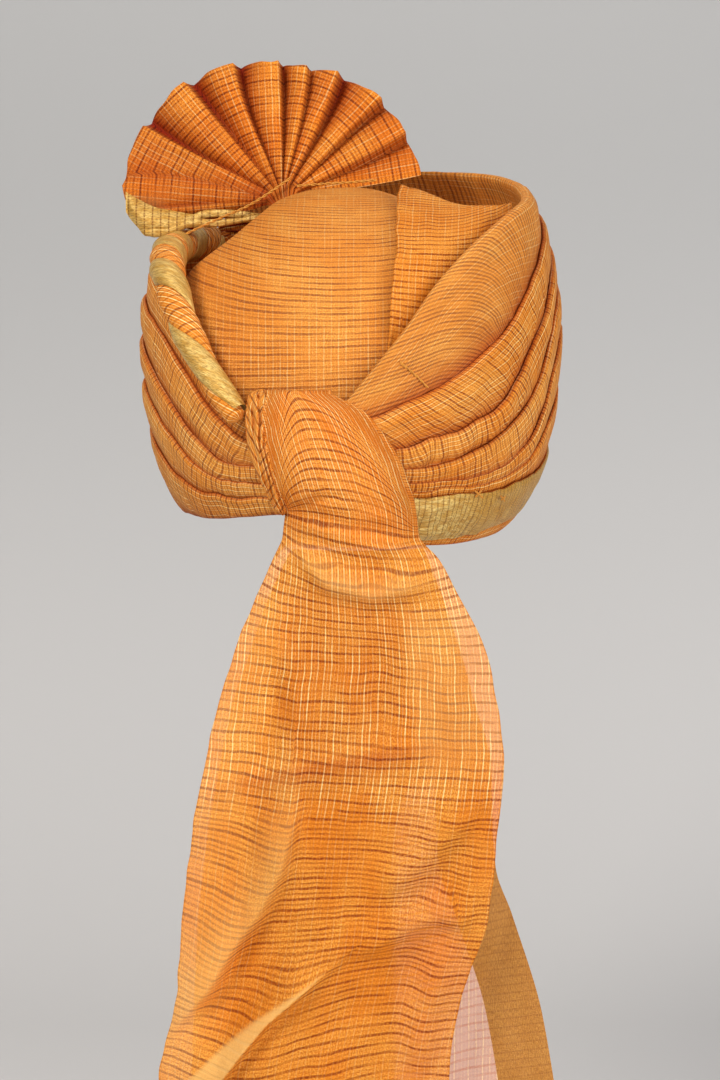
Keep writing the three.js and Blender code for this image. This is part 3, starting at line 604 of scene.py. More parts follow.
# Height of the crown at a place, by halving
def crownHeight(x, y):
    low, high = crownLow, crownHigh
    sideX = crownLeft if x < bodyCentreX else crownRight
    sideY = crownBack if y < bodyCentreY else crownFront
    for _ in range(40):
        z = (low + high) / 2
        shareX = abs((x - bodyCentreX) / sideX(z)) ** levelPower
        shareY = abs((y - bodyCentreY) / sideY(z)) ** levelPower
        low, high = (z, high) if shareX + shareY < 1 else (low, z)
    return low


crownSpec = {"nodes": ["crown_cloth"], "slot": "checked_cloth", "flat": (0.34, 0.36), "held": "draped",
             "restsOn": ["right_swathe", "left_swathe"],
             "around": 241, "upward": 92, "fineSteps": 600, "drawnIn": 1.42, "arch": 0.0026, "archMiddle": 30}
# Heights spaced evenly along the cloth at the back
fineZ = np.linspace(crownLow, crownHigh, crownSpec["fineSteps"])
fineArc = lengthAlong(crownAt(0 * fineZ, fineZ))
crownZ = np.interp(np.linspace(0, fineArc[-1], crownSpec["upward"]), fineArc, fineZ)
crownAzimuth, crownLevel = np.meshgrid(np.linspace(-180, 180, crownSpec["around"]), crownZ, indexing="ij")
crownPoints = crownAt(crownAzimuth, crownLevel)
crownPoints[:, -1] = crownPoints[:, -1].mean(0)
crownX = crownPoints[..., 0].copy()
# The weave runs level over the back and turns at the sides
towardsPole = fineArc[-1] - np.interp(crownLevel, fineZ, fineArc)
backShare = np.clip(3.5 * np.cos(np.radians(crownAzimuth)) + 0.7, -1, 1)
sideShare = ease(66, 96, np.abs(crownAzimuth)) * ease(135, 100, np.abs(crownAzimuth))
crownU = mix(crownX, towardsPole * np.sin(np.radians(crownAzimuth)), sideShare)
towardsTop = ease(80, 165, crownLevel)
archDrop = crownSpec["arch"] * (crownX - crownSpec["archMiddle"]) ** 2 * towardsTop
crownV = -(towardsPole + archDrop) * backShare - (0.05 + 0.13 * towardsTop) * crownX
crownFlat = np.stack([crownU, crownSpec["drawnIn"] * crownV], -1)
crownSoft = 0.9 * softNoise(7, crownX / 34, crownLevel / 30)
crownSoft += 0.5 * softNoise(8, crownX / 12, crownLevel / 24)
crownSoft = crownSoft * ease(186, 165, crownLevel) * np.cos(np.radians(crownAzimuth / 2))
crownPoints += unit(crownPoints - np.array(bodyMiddle)) * crownSoft[..., None]
# Painted shade: a slight shade value darkens the whole crown
crownLooks = {"faint": 0.5 + 0.32 * ease(85, 125, crownLevel), "shade": 0.05, "dense": 0.2, "bold": 0.4,
              "pale": 0.1}
crownCloth = clothMesh("crownCloth", [(crownPoints, crownFlat)], bodyMiddle, woundCloth, crownLooks)
finishSheet(crownCloth, crownSpec)

# Flap: x, then y and z of its lower edge, its middle and its rim
flapSections = [
    (18, -120.6, 88, -103, 148, -28, 188), (30, -117, 104, -100, 152, -36, 185),
    (46, -107.5, 125, -91, 158, -45, 179.5), (62, -92.5, 141, -78, 163, -50, 176.5),
    (76, -73, 154, -61, 168, -46, 177), (86, -50, 165, -42, 173, -33, 179),
]
flapStart, flapEnd = flapSections[0][0], flapSections[-1][0]
# Painted shade: the flap's looks hold a slight shade value that darkens the whole flap
flapSpec = {"nodes": ["crown_flap"], "slot": "checked_cloth", "flat": (0.09, 0.09), "held": "draped",
            "restsOn": ["crown_cloth", "right_swathe"],
            "across": 76, "upward": 70, "lean": 7, "drawnIn": 1.35, "levelAt": 166,
            "rise": 0.006, "riseFrom": 36, "relief": 0.9, "inside": (40, 40, 100),
            "looks": {"shade": 0.06, "faint": 0.75, "bold": 0.3}}
flapX = np.linspace(flapStart, flapEnd, flapSpec["across"])[:, None]
flapT = np.linspace(0, 1, flapSpec["upward"])[None]
lowY, lowZ, midY, midZ, topY, topZ = [columnOf(flapSections, i)(flapX) for i in range(1, 7)]
weightLow, weightMid = (1 - flapT) * (1 - 2 * flapT), 4 * flapT * (1 - flapT)
weightTop = flapT * (2 * flapT - 1)
flapY = weightLow * lowY + weightMid * midY + weightTop * topY
flapZ = weightLow * lowZ + weightMid * midZ + weightTop * topZ
# Its folded edge leans to the right, and small crumples run in from there
byFold = ease(27, flapStart, flapX)
flapLean = flapSpec["lean"] * flapT * (flapEnd - flapX) / (flapEnd - flapStart)
flapLean = flapLean + 0.9 * byFold * softNoise(16, flapT * 15, 0)
flapPoints = np.stack(np.broadcast_arrays(flapX + flapLean, flapY, flapZ), -1).copy()
# The weave is level by the fold and rises to the right
flapArc = lengthAlong(flapPoints, 1)
levelArc = np.array([np.interp(flapSpec["levelAt"], z, arc) for z, arc in zip(flapZ, flapArc)])[:, None]
flapV = flapArc - levelArc - flapSpec["rise"] * np.maximum(0, flapX - flapSpec["riseFrom"]) ** 2
flapU = np.broadcast_to(flapX, flapV.shape)
flapNormal = gridNormals(flapPoints)
flapNormal *= np.sign(flapNormal[..., 2:3] - flapNormal[..., 1:2])
flapSoft = 0.7 * softNoise(14, flapU / 16, flapV / 30) + 0.5 * softNoise(15, flapU / 7, flapV / 22)
flapSoft = flapSoft + 0.9 * byFold * softNoise(17, flapU / 5, flapT * 17)
flapPoints += flapNormal * flapSoft[..., None] * flapSpec["relief"]
turnIn = [(6, 1.9), (2, 1.8), (-0.2, 1.3), (-0.5, 0.6)]  # along +X from the folded edge, and behind it
turned = [flapPoints[:1] + np.array([along, 0, 0]) - flapNormal[:1] * behind for along, behind in turnIn]
turnedFlat = [np.stack([flapU[:1] - len(turnIn) + i, flapV[:1]], -1) for i in range(len(turnIn))]
flapGrid = np.concatenate([*turned, flapPoints])
flapFlat = np.concatenate([*turnedFlat, np.stack([flapU, flapV], -1)]) * np.array([1, flapSpec["drawnIn"]])
rimBack = [(0.4, -0.5), (0.2, -1.3), (-2.5, -1.6), (-7, -2.0)]  # over the rim and down inside
rimNormal = np.concatenate([flapNormal[:1].repeat(len(turnIn), 0), flapNormal])[:, -1:]
rimUp = unit(flapGrid[:, -1:] - flapGrid[:, -2:-1])
inner = [flapGrid[:, -1:] + rimUp * over + rimNormal * out for over, out in rimBack]
innerFlat = [flapFlat[:, -1:] + np.array([0, 1.0 + i]) for i in range(len(rimBack))]
flapGrid = np.concatenate([flapGrid, *inner], 1)
flapFlat = np.concatenate([flapFlat, *innerFlat], 1)
crownFlap = clothMesh("crownFlap", [(flapGrid, flapFlat)], flapSpec["inside"], woundCloth, flapSpec["looks"])
finishSheet(crownFlap, flapSpec)
print("stage: crown made")


# Twisted roll: middle and radius, from the knot up the left side and along the rim to the front
rollPath = np.array([
    (-59.5, -124.8, 65, 6.3), (-71.8, -115.4, 82, 7.6), (-86.5, -99, 106, 8.4), (-96, -81, 127, 9.2),
    (-101, -58, 142, 9.9), (-102.5, -30, 149.6, 9.8), (-101, 4, 153, 9), (-95.5, 45, 155.5, 9.6),
    (-83.6, 81.6, 158, 10),
])
rollTwist = [(0, 0), (0.25, 0.7), (1, 4.95)]  # turns at shares of the length: slow by the knot, then even
rollSteps = 420
rollGoldShare, rollPhase, rollGroove = 0.49, math.radians(210), 0.14
rollInside = (-60, 0, 80)


# Smooth curve through points, with centripetal spacing, and its length
def rollCurve(points, samples):
    padded = np.vstack([2 * points[0] - points[1], points, 2 * points[-1] - points[-2]])
    curve = []
    for p in np.linspace(0, len(points) - 1, samples):
        i = min(int(p), len(points) - 2)
        x0, x1, x2, x3 = padded[i:i + 4]
        d0, d1, d2 = [np.linalg.norm(b - a) ** 0.5 for a, b in ((x0, x1), (x1, x2), (x2, x3))]
        t1 = ((x1 - x0) / d0 - (x2 - x0) / (d0 + d1) + (x2 - x1) / d1) * d1
        t2 = ((x2 - x1) / d1 - (x3 - x1) / (d1 + d2) + (x3 - x2) / d2) * d1
        w = p - i
        second, third = -3 * x1 + 3 * x2 - 2 * t1 - t2, 2 * x1 - 2 * x2 + t1 + t2
        curve.append(x1 + t1 * w + second * w**2 + third * w**3)
    curve = np.array(curve)
    arc = lengthAlong(curve)
    even = np.linspace(0, arc[-1], samples)
    return np.stack([np.interp(even, arc, curve[:, i]) for i in range(3)], 1), arc[-1]


# A frame that follows the roll without turning about it
rollMiddle, rollLength = rollCurve(rollPath[:, :3], rollSteps)
rollTangent = unit(np.gradient(rollMiddle, axis=0))
sideAxis = np.eye(3)[np.argmin(np.abs(rollTangent[0]))]
normal = np.cross(rollTangent[0], unit(np.cross(rollTangent[0], sideAxis)))
rollNormals = []
for tangent in rollTangent:
    normal = unit(normal - tangent * normal.dot(tangent))
    rollNormals.append(normal)
rollNormals = np.array(rollNormals)
rollBinormals = np.cross(rollTangent, rollNormals)
rollT = np.linspace(0, 1, rollSteps)[:, None]
rollRadius = through(np.linspace(0, 1, len(rollPath)), rollPath[:, 3])(rollT)
rollTurn = rollPhase - 2 * math.pi * columnOf(rollTwist, 1)(rollT)


def rollPoints(shares, reach):
    angle = (rollTurn + 2 * math.pi * shares[None])[..., None]
    out = rollNormals[:, None] * np.cos(angle) + rollBinormals[:, None] * np.sin(angle)
    return rollMiddle[:, None] + out * reach[..., None]


def rollLoom(shares):
    across, along = shares[None] * 2 * math.pi * rollRadius, rollT * rollLength
    return np.stack(np.broadcast_arrays(across, along), -1)


# The orange strand bulges in soft pleats, and sinks under the gold one
twistSpec = {"nodes": ["twist_cloth"], "slot": "checked_cloth", "flat": (0.05, 0.27), "held": "gathered",
             "restsOn": ["left_swathe"],
             "around": 61, "under": 0.05, "sunk": 0.125, "pleats": 3, "pleatHeight": 0.05, "soft": 0.035,
             "endShares": (0.9, 0.55, 0.3, 0.12)}
clothShares = np.linspace(0, 1, twistSpec["around"])
clothPart = 1 - rollGoldShare
onCloth = np.clip(clothShares / clothPart, 0, 1)
bulge = np.where(clothShares < clothPart, np.sin(math.pi * onCloth), 0)
pleatWave = np.abs(np.sin(math.pi * twistSpec["pleats"] * onCloth + 0.6))
pleats = twistSpec["pleatHeight"] * pleatWave * np.sin(math.pi * onCloth)
sunk = np.where(clothShares < clothPart, 0, twistSpec["sunk"])
rollSoft = twistSpec["soft"] * softNoise(31, rollT * rollLength / 9, clothShares[None] * 8)
rollSoft = rollSoft * np.sin(math.pi * clothShares)
rollReach = rollRadius * (1 - rollGroove * (1 - bulge) - twistSpec["under"] + pleats - sunk + rollSoft)
rollTube = rollPoints(clothShares, rollReach)
gatherEnd(rollTube, twistSpec["endShares"])
gatherEnd(rollTube[::-1], twistSpec["endShares"])
twistCloth = clothMesh("twistCloth", [(rollTube, rollLoom(clothShares))], rollInside, woundCloth, {})
finishSheet(twistCloth, twistSpec)

# The gold strand has one lengthwise crease
# Its shine value gives it pale glints, painted highlights
twistGoldSpec = {"nodes": ["twist_border"], "slot": "gold_border", "flat": (0.024, 0.26), "held": "gathered",
                 "restsOn": ["twist_cloth"],
                 "across": 34, "endsBefore": 8, "lift": 0.02, "edgeDrop": 0.10, "crease": 0.05,
                 "grooveShare": 0.9, "looks": {"shine": 0.75}}
onGold = np.linspace(0, 1, twistGoldSpec["across"])
goldShares = clothPart + rollGoldShare * onGold
goldGroove = rollGroove * (1 - np.sin(math.pi * onGold)) * twistGoldSpec["grooveShare"]
goldLift = 1 - goldGroove + twistGoldSpec["lift"]
goldLift = goldLift - twistGoldSpec["edgeDrop"] * (ease(0.05, 0, onGold) + ease(0.95, 1, onGold))
goldCrease = twistGoldSpec["crease"] * ease(0.5, 0.56, onGold) * ease(1.0, 0.7, onGold)
goldPoints = rollPoints(goldShares, rollRadius * (goldLift + goldCrease)[None])
goldPart = slice(twistGoldSpec["endsBefore"], -twistGoldSpec["endsBefore"])
goldGrid = (goldPoints[goldPart], rollLoom(goldShares)[goldPart])
twistBorder = clothMesh("twistBorder", [goldGrid], rollInside, zariPlain, twistGoldSpec["looks"])
finishSheet(twistBorder, twistGoldSpec)
print("stage: roll made")


# Gathered strip at the left of the knot: z, left, right, back, front
tuckRows = [
    (80, -55, -43, -110, -131), (68, -57, -43, -114, -137), (54, -56, -42, -122.5, -139),
    (40, -52, -40, -121, -138), (28, -47, -37.5, -119, -135), (16, -41, -36, -117, -130),
]
tuckSpec = {"nodes": ["knot_tuck"], "slot": "checked_cloth", "flat": (0.05, 0.066), "held": "gathered",
            "restsOn": ["left_swathe", "tail_front"],
            "upward": 70, "around": 73, "under": 2, "frontPart": 0.75, "gathers": 4.5, "deep": 0.22,
            "roundness": 0.55, "rightDepth": 0.66, "endShares": (0.9, 0.5, 0.2),
            "inside": (-49, -118, 48), "drawnIn": (1.2, 0.7), "droop": 1.1}
tuckZ = np.linspace(tuckRows[0][0] + 1, tuckRows[-1][0] - 1, tuckSpec["upward"])[:, None]
tuckAround = np.linspace(0, 1, tuckSpec["around"])[None]
tuckLeft, tuckRight, tuckBack, tuckFront = [columnOf(tuckRows, i)(tuckZ) for i in range(1, 5)]
tuckRight = tuckRight + tuckSpec["under"]  # under the edge of the fold beside it
atFront = tuckAround < tuckSpec["frontPart"]
onFront = np.clip(tuckAround / tuckSpec["frontPart"], 0, 1)
onBack = np.clip((tuckAround - tuckSpec["frontPart"]) / (1 - tuckSpec["frontPart"]), 0, 1)
gatherTurn = tuckSpec["gathers"] * onFront + 0.7 * softNoise(41, tuckZ / 13, onFront * 3)
gathers = 1 - tuckSpec["deep"] + tuckSpec["deep"] * np.abs(np.sin(math.pi * gatherTurn))
gathers = gathers + 0.06 * softNoise(42, tuckZ / 4, onFront * 9)
frontStart, frontEnd = 0.06, 0.94  # of the half round that the front makes
frontRound = np.sin(math.pi * mix(frontStart, frontEnd, onFront)) ** tuckSpec["roundness"]
frontRound = np.maximum(frontRound, tuckSpec["rightDepth"] * ease(0.5, 0.8, onFront))
startDepth = math.sin(math.pi * frontStart) ** tuckSpec["roundness"]
backReach = mix(tuckSpec["rightDepth"], startDepth, onBack) * (1 - np.sin(math.pi * onBack))
tuckX = np.where(atFront, mix(tuckLeft, tuckRight, onFront), mix(tuckRight, tuckLeft, onBack))
tuckY = mix(tuckBack, tuckFront, np.where(atFront, gathers * frontRound, backReach))
tuckPoints = np.stack(np.broadcast_arrays(tuckX, tuckY, tuckZ), -1).copy()
gatherEnd(tuckPoints, tuckSpec["endShares"])
gatherEnd(tuckPoints[::-1], tuckSpec["endShares"])
# The weave droops to both sides of the strip
tuckDroop = tuckSpec["droop"] * np.abs(tuckX - tuckSpec["inside"][0])
tuckAcross, tuckAlong = tuckSpec["drawnIn"]
tuckU, tuckV = tuckAcross * lengthAlong(tuckPoints, 1), -tuckAlong * tuckZ + tuckDroop
tuckFlat = np.stack(np.broadcast_arrays(tuckU, tuckV), -1)
knotTuck = clothMesh("knotTuck", [(tuckPoints, tuckFlat)], tuckSpec["inside"], woundCloth, {})
finishSheet(knotTuck, tuckSpec)


# Tail: z, left, right, and how far back its middle and its edges lie
tailRows = [
    (79, -45, -12, -135.5, -133), (70, -47.5, 5, -140, -137), (58, -47, 15, -144, -137.4),
    (44, -45, 23, -147, -136.4), (30, -41.5, 29, -148, -132.5), (16, -36, 31.5, -145, -125),
    (4, -37, 33, -142, -124), (-8, -43, 44, -140, -130), (-28, -52, 55, -139, -132),
    (-60, -64, 70, -140, -133), (-117, -79, 78, -142, -134), (-160, -86.5, 74, -143, -134),
    (-200, -91, 70, -145, -134), (-240, -94, 56, -148, -134), (-278, -103, 50, -150, -135),
    (-340, -108, 52, -150, -137), (-420, -110, 56, -149, -139),
]
tailWaves = [(0.2, 5, 0.12), (0.52, -6, 0.16), (0.82, 4, 0.1)]  # across, depth, width
tailLeft, tailRight, tailMiddle, tailEdge = [columnOf(tailRows, i) for i in range(1, 5)]
tailBehind = (0, 400, -150)  # the tail's cloths face away from here


def tailDepth(x, z):
    across = (x - tailLeft(z)) / (tailRight(z) - tailLeft(z))
    fromMiddle = np.minimum(1.15, np.abs(2 * across - 1))
    waves = sum(depth * np.exp(-(((across - at) / width) ** 2)) for at, depth, width in tailWaves)
    return mix(tailMiddle(z), tailEdge(z), fromMiddle**2.4) + waves * ease(-10, -200, z)


# Lines of the main creases, as x and z: the swag under the knot, the fold across, and two long ridges
swagLine = [(-33, 1), (-13, -19), (9, -25), (44, -17)]
foldLine = [(49, -104), (32, -106), (-2, -111), (-34, -118), (-60, -124), (-80, -132)]
sideRidge = [(-32, -118), (-34, -147), (-40, -169), (-52, -193), (-65, -211), (-78, -233), (-92, -249),
             (-105, -268)]
lowRidge = [(-9, -216), (-14, -220), (-31.8, -235), (-46.6, -249), (-61.4, -268), (-69, -279), (-82, -300)]
# Creases of the tail: lift towards the camera, width on the right and on the left, and the line of each
tailCreases = [
    (5.5, 6, 7, swagLine),
    (-1.6, 5.5, 5.5, [(-33, 8), (-10, -8), (12, -12), (36, -5)]),
    (1.6, 4, 4, [(-36, 13), (-10, 6), (14, 0), (32, 3)]),
    (-1.4, 4, 4, [(-36, 17), (-14, 15), (10, 8), (31, 7)]),
    (2.0, 2.6, 2.6, [(-35, 19), (-22, 30), (-10, 38)]),
    (-1.8, 2.6, 2.6, [(-35, 18), (-20, 25), (-2, 27)]),
    (1.8, 2.4, 2.4, [(30, 6), (18, 14), (6, 18)]),
    (1.6, 2.4, 2.4, [(31, 3), (20, 0), (8, 2)]),
    (2.6, 6, 12, foldLine),
    (11, 22, 5, sideRidge),
    (-2.2, 9, 9, [(-36, -208), (-50, -228), (-66, -256), (-82, -290)]),
    (10, 17, 2.4, lowRidge),
    (-3, 12, 12, [(12, -226), (-10, -246), (-28, -270), (-44, -296)]),
    (5, 13, 7, [(66, -130), (52, -147), (39, -163), (24, -174), (4, -180)]),
    (-1.5, 8, 8, [(66, -150), (50, -166), (34, -184), (16, -196)]),
    (6, 12, 6, [(66, -186), (55, -197), (44, -194), (31, -198), (13, -206), (-8, -214)]),
    (5, 10, 10, [(52, -210), (42, -228), (36, -250), (32, -284)]),
    (2.4, 9, 9, [(-40, -40), (-30, -80), (-28, -106)]),
    (-2.6, 10, 10, [(10, -44), (14, -90), (8, -110)]),
    (2.6, 10, 10, [(40, -40), (50, -80), (52, -104)]),
    (4, 16, 16, [(-88, -330), (-60, -350), (-40, -400)]),
    (-4, 16, 16, [(-40, -320), (-10, -350), (0, -410)]),
]

frontSpec = {"nodes": ["tail_front"], "slot": "checked_cloth", "flat": (0.15, 0.52), "held": "hung",
             "restsOn": ["knot_tuck", "right_swathe"],
             "knotRows": 120, "hangingRows": 290, "across": 184, "drawnIn": 0.93, "fullWidth": 165}
knotZ = np.linspace(tailRows[0][0], -30, frontSpec["knotRows"])
hangingZ = np.linspace(-31.3, tailRows[-1][0], frontSpec["hangingRows"])
frontZ = np.concatenate([knotZ, hangingZ])[:, None]
frontAcross = np.linspace(0, 1, frontSpec["across"])[None]
leftEdge = tailLeft(frontZ) + 0.5 * softNoise(51, frontZ / 9, 0)
rightEdge = tailRight(frontZ) + 0.5 * softNoise(52, frontZ / 11, 0)
frontX = mix(leftEdge, rightEdge, frontAcross)
frontLift = creaseField(frontX, frontZ, tailCreases)
frontLift += 0.5 * softNoise(53, frontX / 14, frontZ / 26) + 0.25 * softNoise(54, frontX / 5, frontZ / 9)
frontY = tailDepth(frontX, frontZ) - frontLift
frontPoints = np.stack([frontX, frontY, np.broadcast_to(frontZ, frontX.shape)], -1)

# Flat places: the weft arches over the knot, sags in the swag and sways with the folds lower down
fromCentre = 2 * frontAcross - 1
frontWidth = tailRight(frontZ) - tailLeft(frontZ)
frontU = fromCentre / 2 * frontWidth**0.6 * frontSpec["fullWidth"] ** 0.4
pinch = mix(17.0, 5.0, frontAcross)
arch = np.maximum(0.16, (1 - np.abs(fromCentre) ** 2.4)) ** 0.7
sag = 1 + 0.42 * (1 - fromCentre**2) * ease(-70, -8, frontZ - pinch)
frontV = np.where(frontZ > pinch, (frontZ - pinch) / arch, (frontZ - pinch) / sag)
sway = 0.10 * frontX * ease(-150, -260, frontZ) + 6 * np.sin(frontX / 24 + 1.0) * ease(-120, -230, frontZ)
frontV = frontV - sway + 0.55 * frontLift
frontFlat = np.stack([frontU, frontV], -1)

# Both sides turn under, well so on the knot and by a thread's width on the tail
turnSize = 0.12 + 0.88 * ease(-12, 8, frontZ)
sideTurn = [(-5, 12), (-1.2, 5), (0.5, 1.2)]  # beyond the edge, and behind it
sideLength = (13.3, 5.4, 1.3)
leftTurn = [frontPoints[:, 0] + turnSize * np.array([-beyond, behind, 0]) for beyond, behind in sideTurn]
rightTurn = [frontPoints[:, -1] + turnSize * np.array([beyond, behind, 0])
             for beyond, behind in sideTurn[::-1]]
flatLeft = [frontFlat[:, 0] - turnSize * np.array([length, 0]) for length in sideLength]
flatRight = [frontFlat[:, -1] + turnSize * np.array([length, 0]) for length in sideLength[::-1]]
frontPoints = np.concatenate([np.stack(leftTurn, 1), frontPoints, np.stack(rightTurn, 1)], 1)
frontFlat = np.concatenate([np.stack(flatLeft, 1), frontFlat, np.stack(flatRight, 1)], 1)
# The knot's top goes back to the crown: up from its top edge, and share of the way to the crown
overTop = [(-14, 1.0), (-7, 0.9), (-0.5, 0.6), (1.6, 0.22), (0.9, 0.05)]
topEdge = frontPoints[0]
crownAcross = np.abs((topEdge[:, 0] - bodyCentreX) / crownLeft(topEdge[:, 2])) ** levelPower
crownY = bodyCentreY - crownBack(topEdge[:, 2]) * (1 - crownAcross) ** (1 / levelPower)
toCrown = np.stack([0 * crownY, crownY - topEdge[:, 1] + 0.6, 0 * crownY], -1)
topRows = [topEdge + share * toCrown + np.array([0, 0, up]) for up, share in overTop]
topFlat = [frontFlat[0] + np.array([0, float(len(overTop) - i)]) for i in range(len(overTop))]
frontPoints = np.concatenate([np.stack(topRows), frontPoints])
frontFlat = np.concatenate([np.stack(topFlat), frontFlat])

# The knot is wrapped several times and the left edge is folded, so little shows through them
atX, atZ = frontPoints[..., 0], frontPoints[..., 2]
atShare = (atX - tailLeft(atZ)) / (tailRight(atZ) - tailLeft(atZ))
frontSolid = np.maximum(ease(-14, 2, atZ), 0.93 * ease(0.3, 0.18, atShare) * ease(-10, -30, atZ))
# Painted shade: darker where two layers lie on each other in the middle, on the knot and in a band along the
# fold
frontShade = 0.13 * ease(-44, -38, atX) * ease(34, 20, atX) * ease(-8, -30, atZ) * ease(-150, -96, atZ)
frontShade = frontShade + 0.2 * ease(-6, 10, atZ) + creaseField(atX, atZ, [(0.3, 3, 7, foldLine)])
# Paler where the border shines through and along the left edge, and painted highlights on the crests of the
# swag and the long ridge
frontPale = 0.2 * ease(24, 34, atX + 0.12 * (atZ + 70)) * ease(-26, -44, atZ) * ease(-140, -92, atZ)
frontPale += 0.16 * ease(0.24, 0.06, atShare) * ease(-12, -40, atZ)
swagCrest = [(x, z - 1) for x, z in swagLine]
frontPale += creaseField(atX, atZ, [(0.3, 3, 8, swagCrest), (0.3, 14, 4, sideRidge)])
# Painted highlight: the low ridge's lit side, a narrow pale wedge
wedgeX, wedgeDown = [x for x, z in lowRidge[1:]], [-z for x, z in lowRidge[1:]]
wedgeRight = np.interp(-atZ, wedgeDown, wedgeX)
wedgeLeft = wedgeRight - 0.27 * np.clip(-wedgeDown[0] - atZ, 0, wedgeDown[-1] - wedgeDown[0])
onWedge = ease(wedgeLeft - 2, wedgeLeft + 3, atX) * ease(wedgeRight + 0.8, wedgeRight - 0.4, atX)
frontPale = np.maximum(frontPale, 0.72 * onWedge * ease(-219, -224, atZ) * ease(-350, -305, atZ))
# Below the fold the pale lines fade and the dark ones lie closer
belowFold = ease(-122, -150, atZ)
frontLooks = {"solid": frontSolid, "shade": frontShade, "pale": frontPale, "faint": 0.2 + 0.65 * belowFold,
              "dense": 0.44 * belowFold * ease(-262, -205, atZ) + 0.08}
frontGrid = (frontPoints, frontFlat * np.array([1, frontSpec["drawnIn"]]))
tailFront = clothMesh("tailFront", [frontGrid], tailBehind, sheerCloth, frontLooks)
finishSheet(tailFront, frontSpec)

# The back cloth hangs behind, and its right edge carries the gold border: z, left, right, how far behind
tailBackRows = [
    (-2, -33, 36, 0), (-28, -45, 46, 4), (-60, -56, 56.5, 8), (-87, -65, 64, 10), (-117, -71, 72, 11),
    (-150, -77, 73, 12), (-174, -80, 75, 12), (-200, -83, 84, 12), (-257, -86, 101, 12),
    (-340, -88, 113, 12), (-410, -88, 118, 12),
]
borderWidth, backGap, backSlant, backSeed, backSteps = 30.0, 2.8, 0.12, 71, 180


def backGrid(onBorder, columns):
    z = np.linspace(tailBackRows[0][0], tailBackRows[-1][0], backSteps)[:, None]
    left, right, behind = [columnOf(tailBackRows, i)(z) for i in range(1, 4)]
    seam = right - borderWidth
    start, end = (seam, right) if onBorder else (left, seam)
    x = mix(start, end, np.linspace(0, 1, columns)[None])
    soft = 1.2 * softNoise(backSeed, x / 30, z / 60) + 0.4 * softNoise(backSeed + 1, x / 9, z / 30)
    y = tailDepth(x, z) + backGap + behind + soft * ease(0, 9, behind)
    points = np.stack([x, y, np.broadcast_to(z, x.shape)], -1)
    return points, np.stack([x, z - backSlant * x], -1)


backSpec = {"nodes": ["tail_back"], "slot": "checked_cloth", "flat": (0.135, 0.42), "held": "hung",
            "restsOn": ["tail_front"], "across": 70}
backPoints, backFlat = backGrid(False, backSpec["across"])
# Only its low right side is seen as a single layer
backSolid = ease(-150, -120, backPoints[..., 2]) + ease(30, 18, backPoints[..., 0])
backLooks = {"solid": backSolid, "pale": 0.6 * (1 - np.minimum(1, backSolid))}
tailBack = clothMesh("tailBack", [(backPoints, backFlat)], tailBehind, singleCloth, backLooks)
finishSheet(tailBack, backSpec)
# Its gold border uses the darker copy of the gold, as painted shade
tailBorderSpec = {"nodes": ["tail_border"], "slot": "gold_border", "flat": (0.03, 0.42), "held": "hung",
                  "restsOn": ["tail_back"], "across": 24}
tailBorder = clothMesh("tailBorder", [backGrid(True, tailBorderSpec["across"])], tailBehind, zariShaded, {})
finishSheet(tailBorder, tailBorderSpec)
print("stage: tail made")


# Fan: ridge angle from +X, reach and depth of the valley after it, from right to left
fanMiddle, fanLean = np.array([-41, 22, 181.0]), math.radians(8)
fanBaseRadius, fanRelief = 9.0, 15.0
fanNeck = (6.0, -4.0)  # right and left end of the neck, from the fan's middle
fanRidges = [
    (10, 79, 0.8), (29, 80, 0.8), (46, 80, 1), (67, 79.5, 0.6), (80, 77.5, 0.9), (92, 79, 1), (110, 83, 1),
    (130, 88, 1), (152, 90, 0.2), (175, 92, 0.35), (186, 87, 0),
]
lastPleat = [(188, 82, 0.15), (190, 72, 0.35), (193, 62, 0.5), (197, 54, 0.6)]  # turns back under the fan
fanRim = [(0.35, 0.5), (0.2, 1.3), (-1.2, 1.8), (-4, 2.2)]  # beyond the rim, and behind it
fanBehind = (-41, 300, 200)  # the fan's cloths face away from here
fanSpec = {"nodes": ["fan"], "slot": "checked_cloth", "flat": (0.21, 0.085), "held": "gathered",
           "restsOn": ["crown_cloth"],
           "steps": 20, "upward": 64, "throatRows": 8, "throatEnd": 0.9, "neckLift": 0.4,
           "valleyAt": 0.85, "valleyReach": 0.985, "baseDepth": 2, "pleatCloth": 23.7, "drawnIn": 1.1,
           "faint": 0.6, "dense": 0.3}


def placeFan(radius, angles, out):
    across, up = radius * np.cos(np.radians(angles)), radius * np.sin(np.radians(angles))
    y = fanMiddle[1] + out * math.cos(fanLean) + up * math.sin(fanLean)
    z = fanMiddle[2] + up * math.cos(fanLean) - out * math.sin(fanLean)
    return np.stack([fanMiddle[0] + across, y, z], -1)


# Lines from the neck to the rim: angle, reach, depth, and the angle and number of the nearest ridge.
# Each pleat falls slowly to its valley and comes back steeply to the next ridge
fanLines = []
valleyAt = fanSpec["valleyAt"]
for i, ((angle, reach, depth), (nextAngle, nextReach, _)) in enumerate(zip(fanRidges, fanRidges[1:])):
    for s in np.arange(fanSpec["steps"]) / fanSpec["steps"]:
        falling = s < valleyAt
        turn = s / valleyAt if falling else 1 - (s - valleyAt) / (1 - valleyAt)
        shorter = mix(1, fanSpec["valleyReach"], math.sin(math.pi / 2 * turn) ** 1.5)
        back = depth * (0.12 * turn + 0.88 * turn**3 if falling else turn**0.7)
        ridge = (angle, i) if falling else (nextAngle, i + 1)
        fanLines.append((mix(angle, nextAngle, s), mix(reach, nextReach, s) * shorter, back, *ridge))
lastAngle, lastReach, lastDepth = fanRidges[-1]
for angle, reach, back in [(lastAngle, lastReach, lastDepth), *lastPleat]:
    fanLines.append((angle, reach, back, lastAngle, len(fanRidges) - 1))
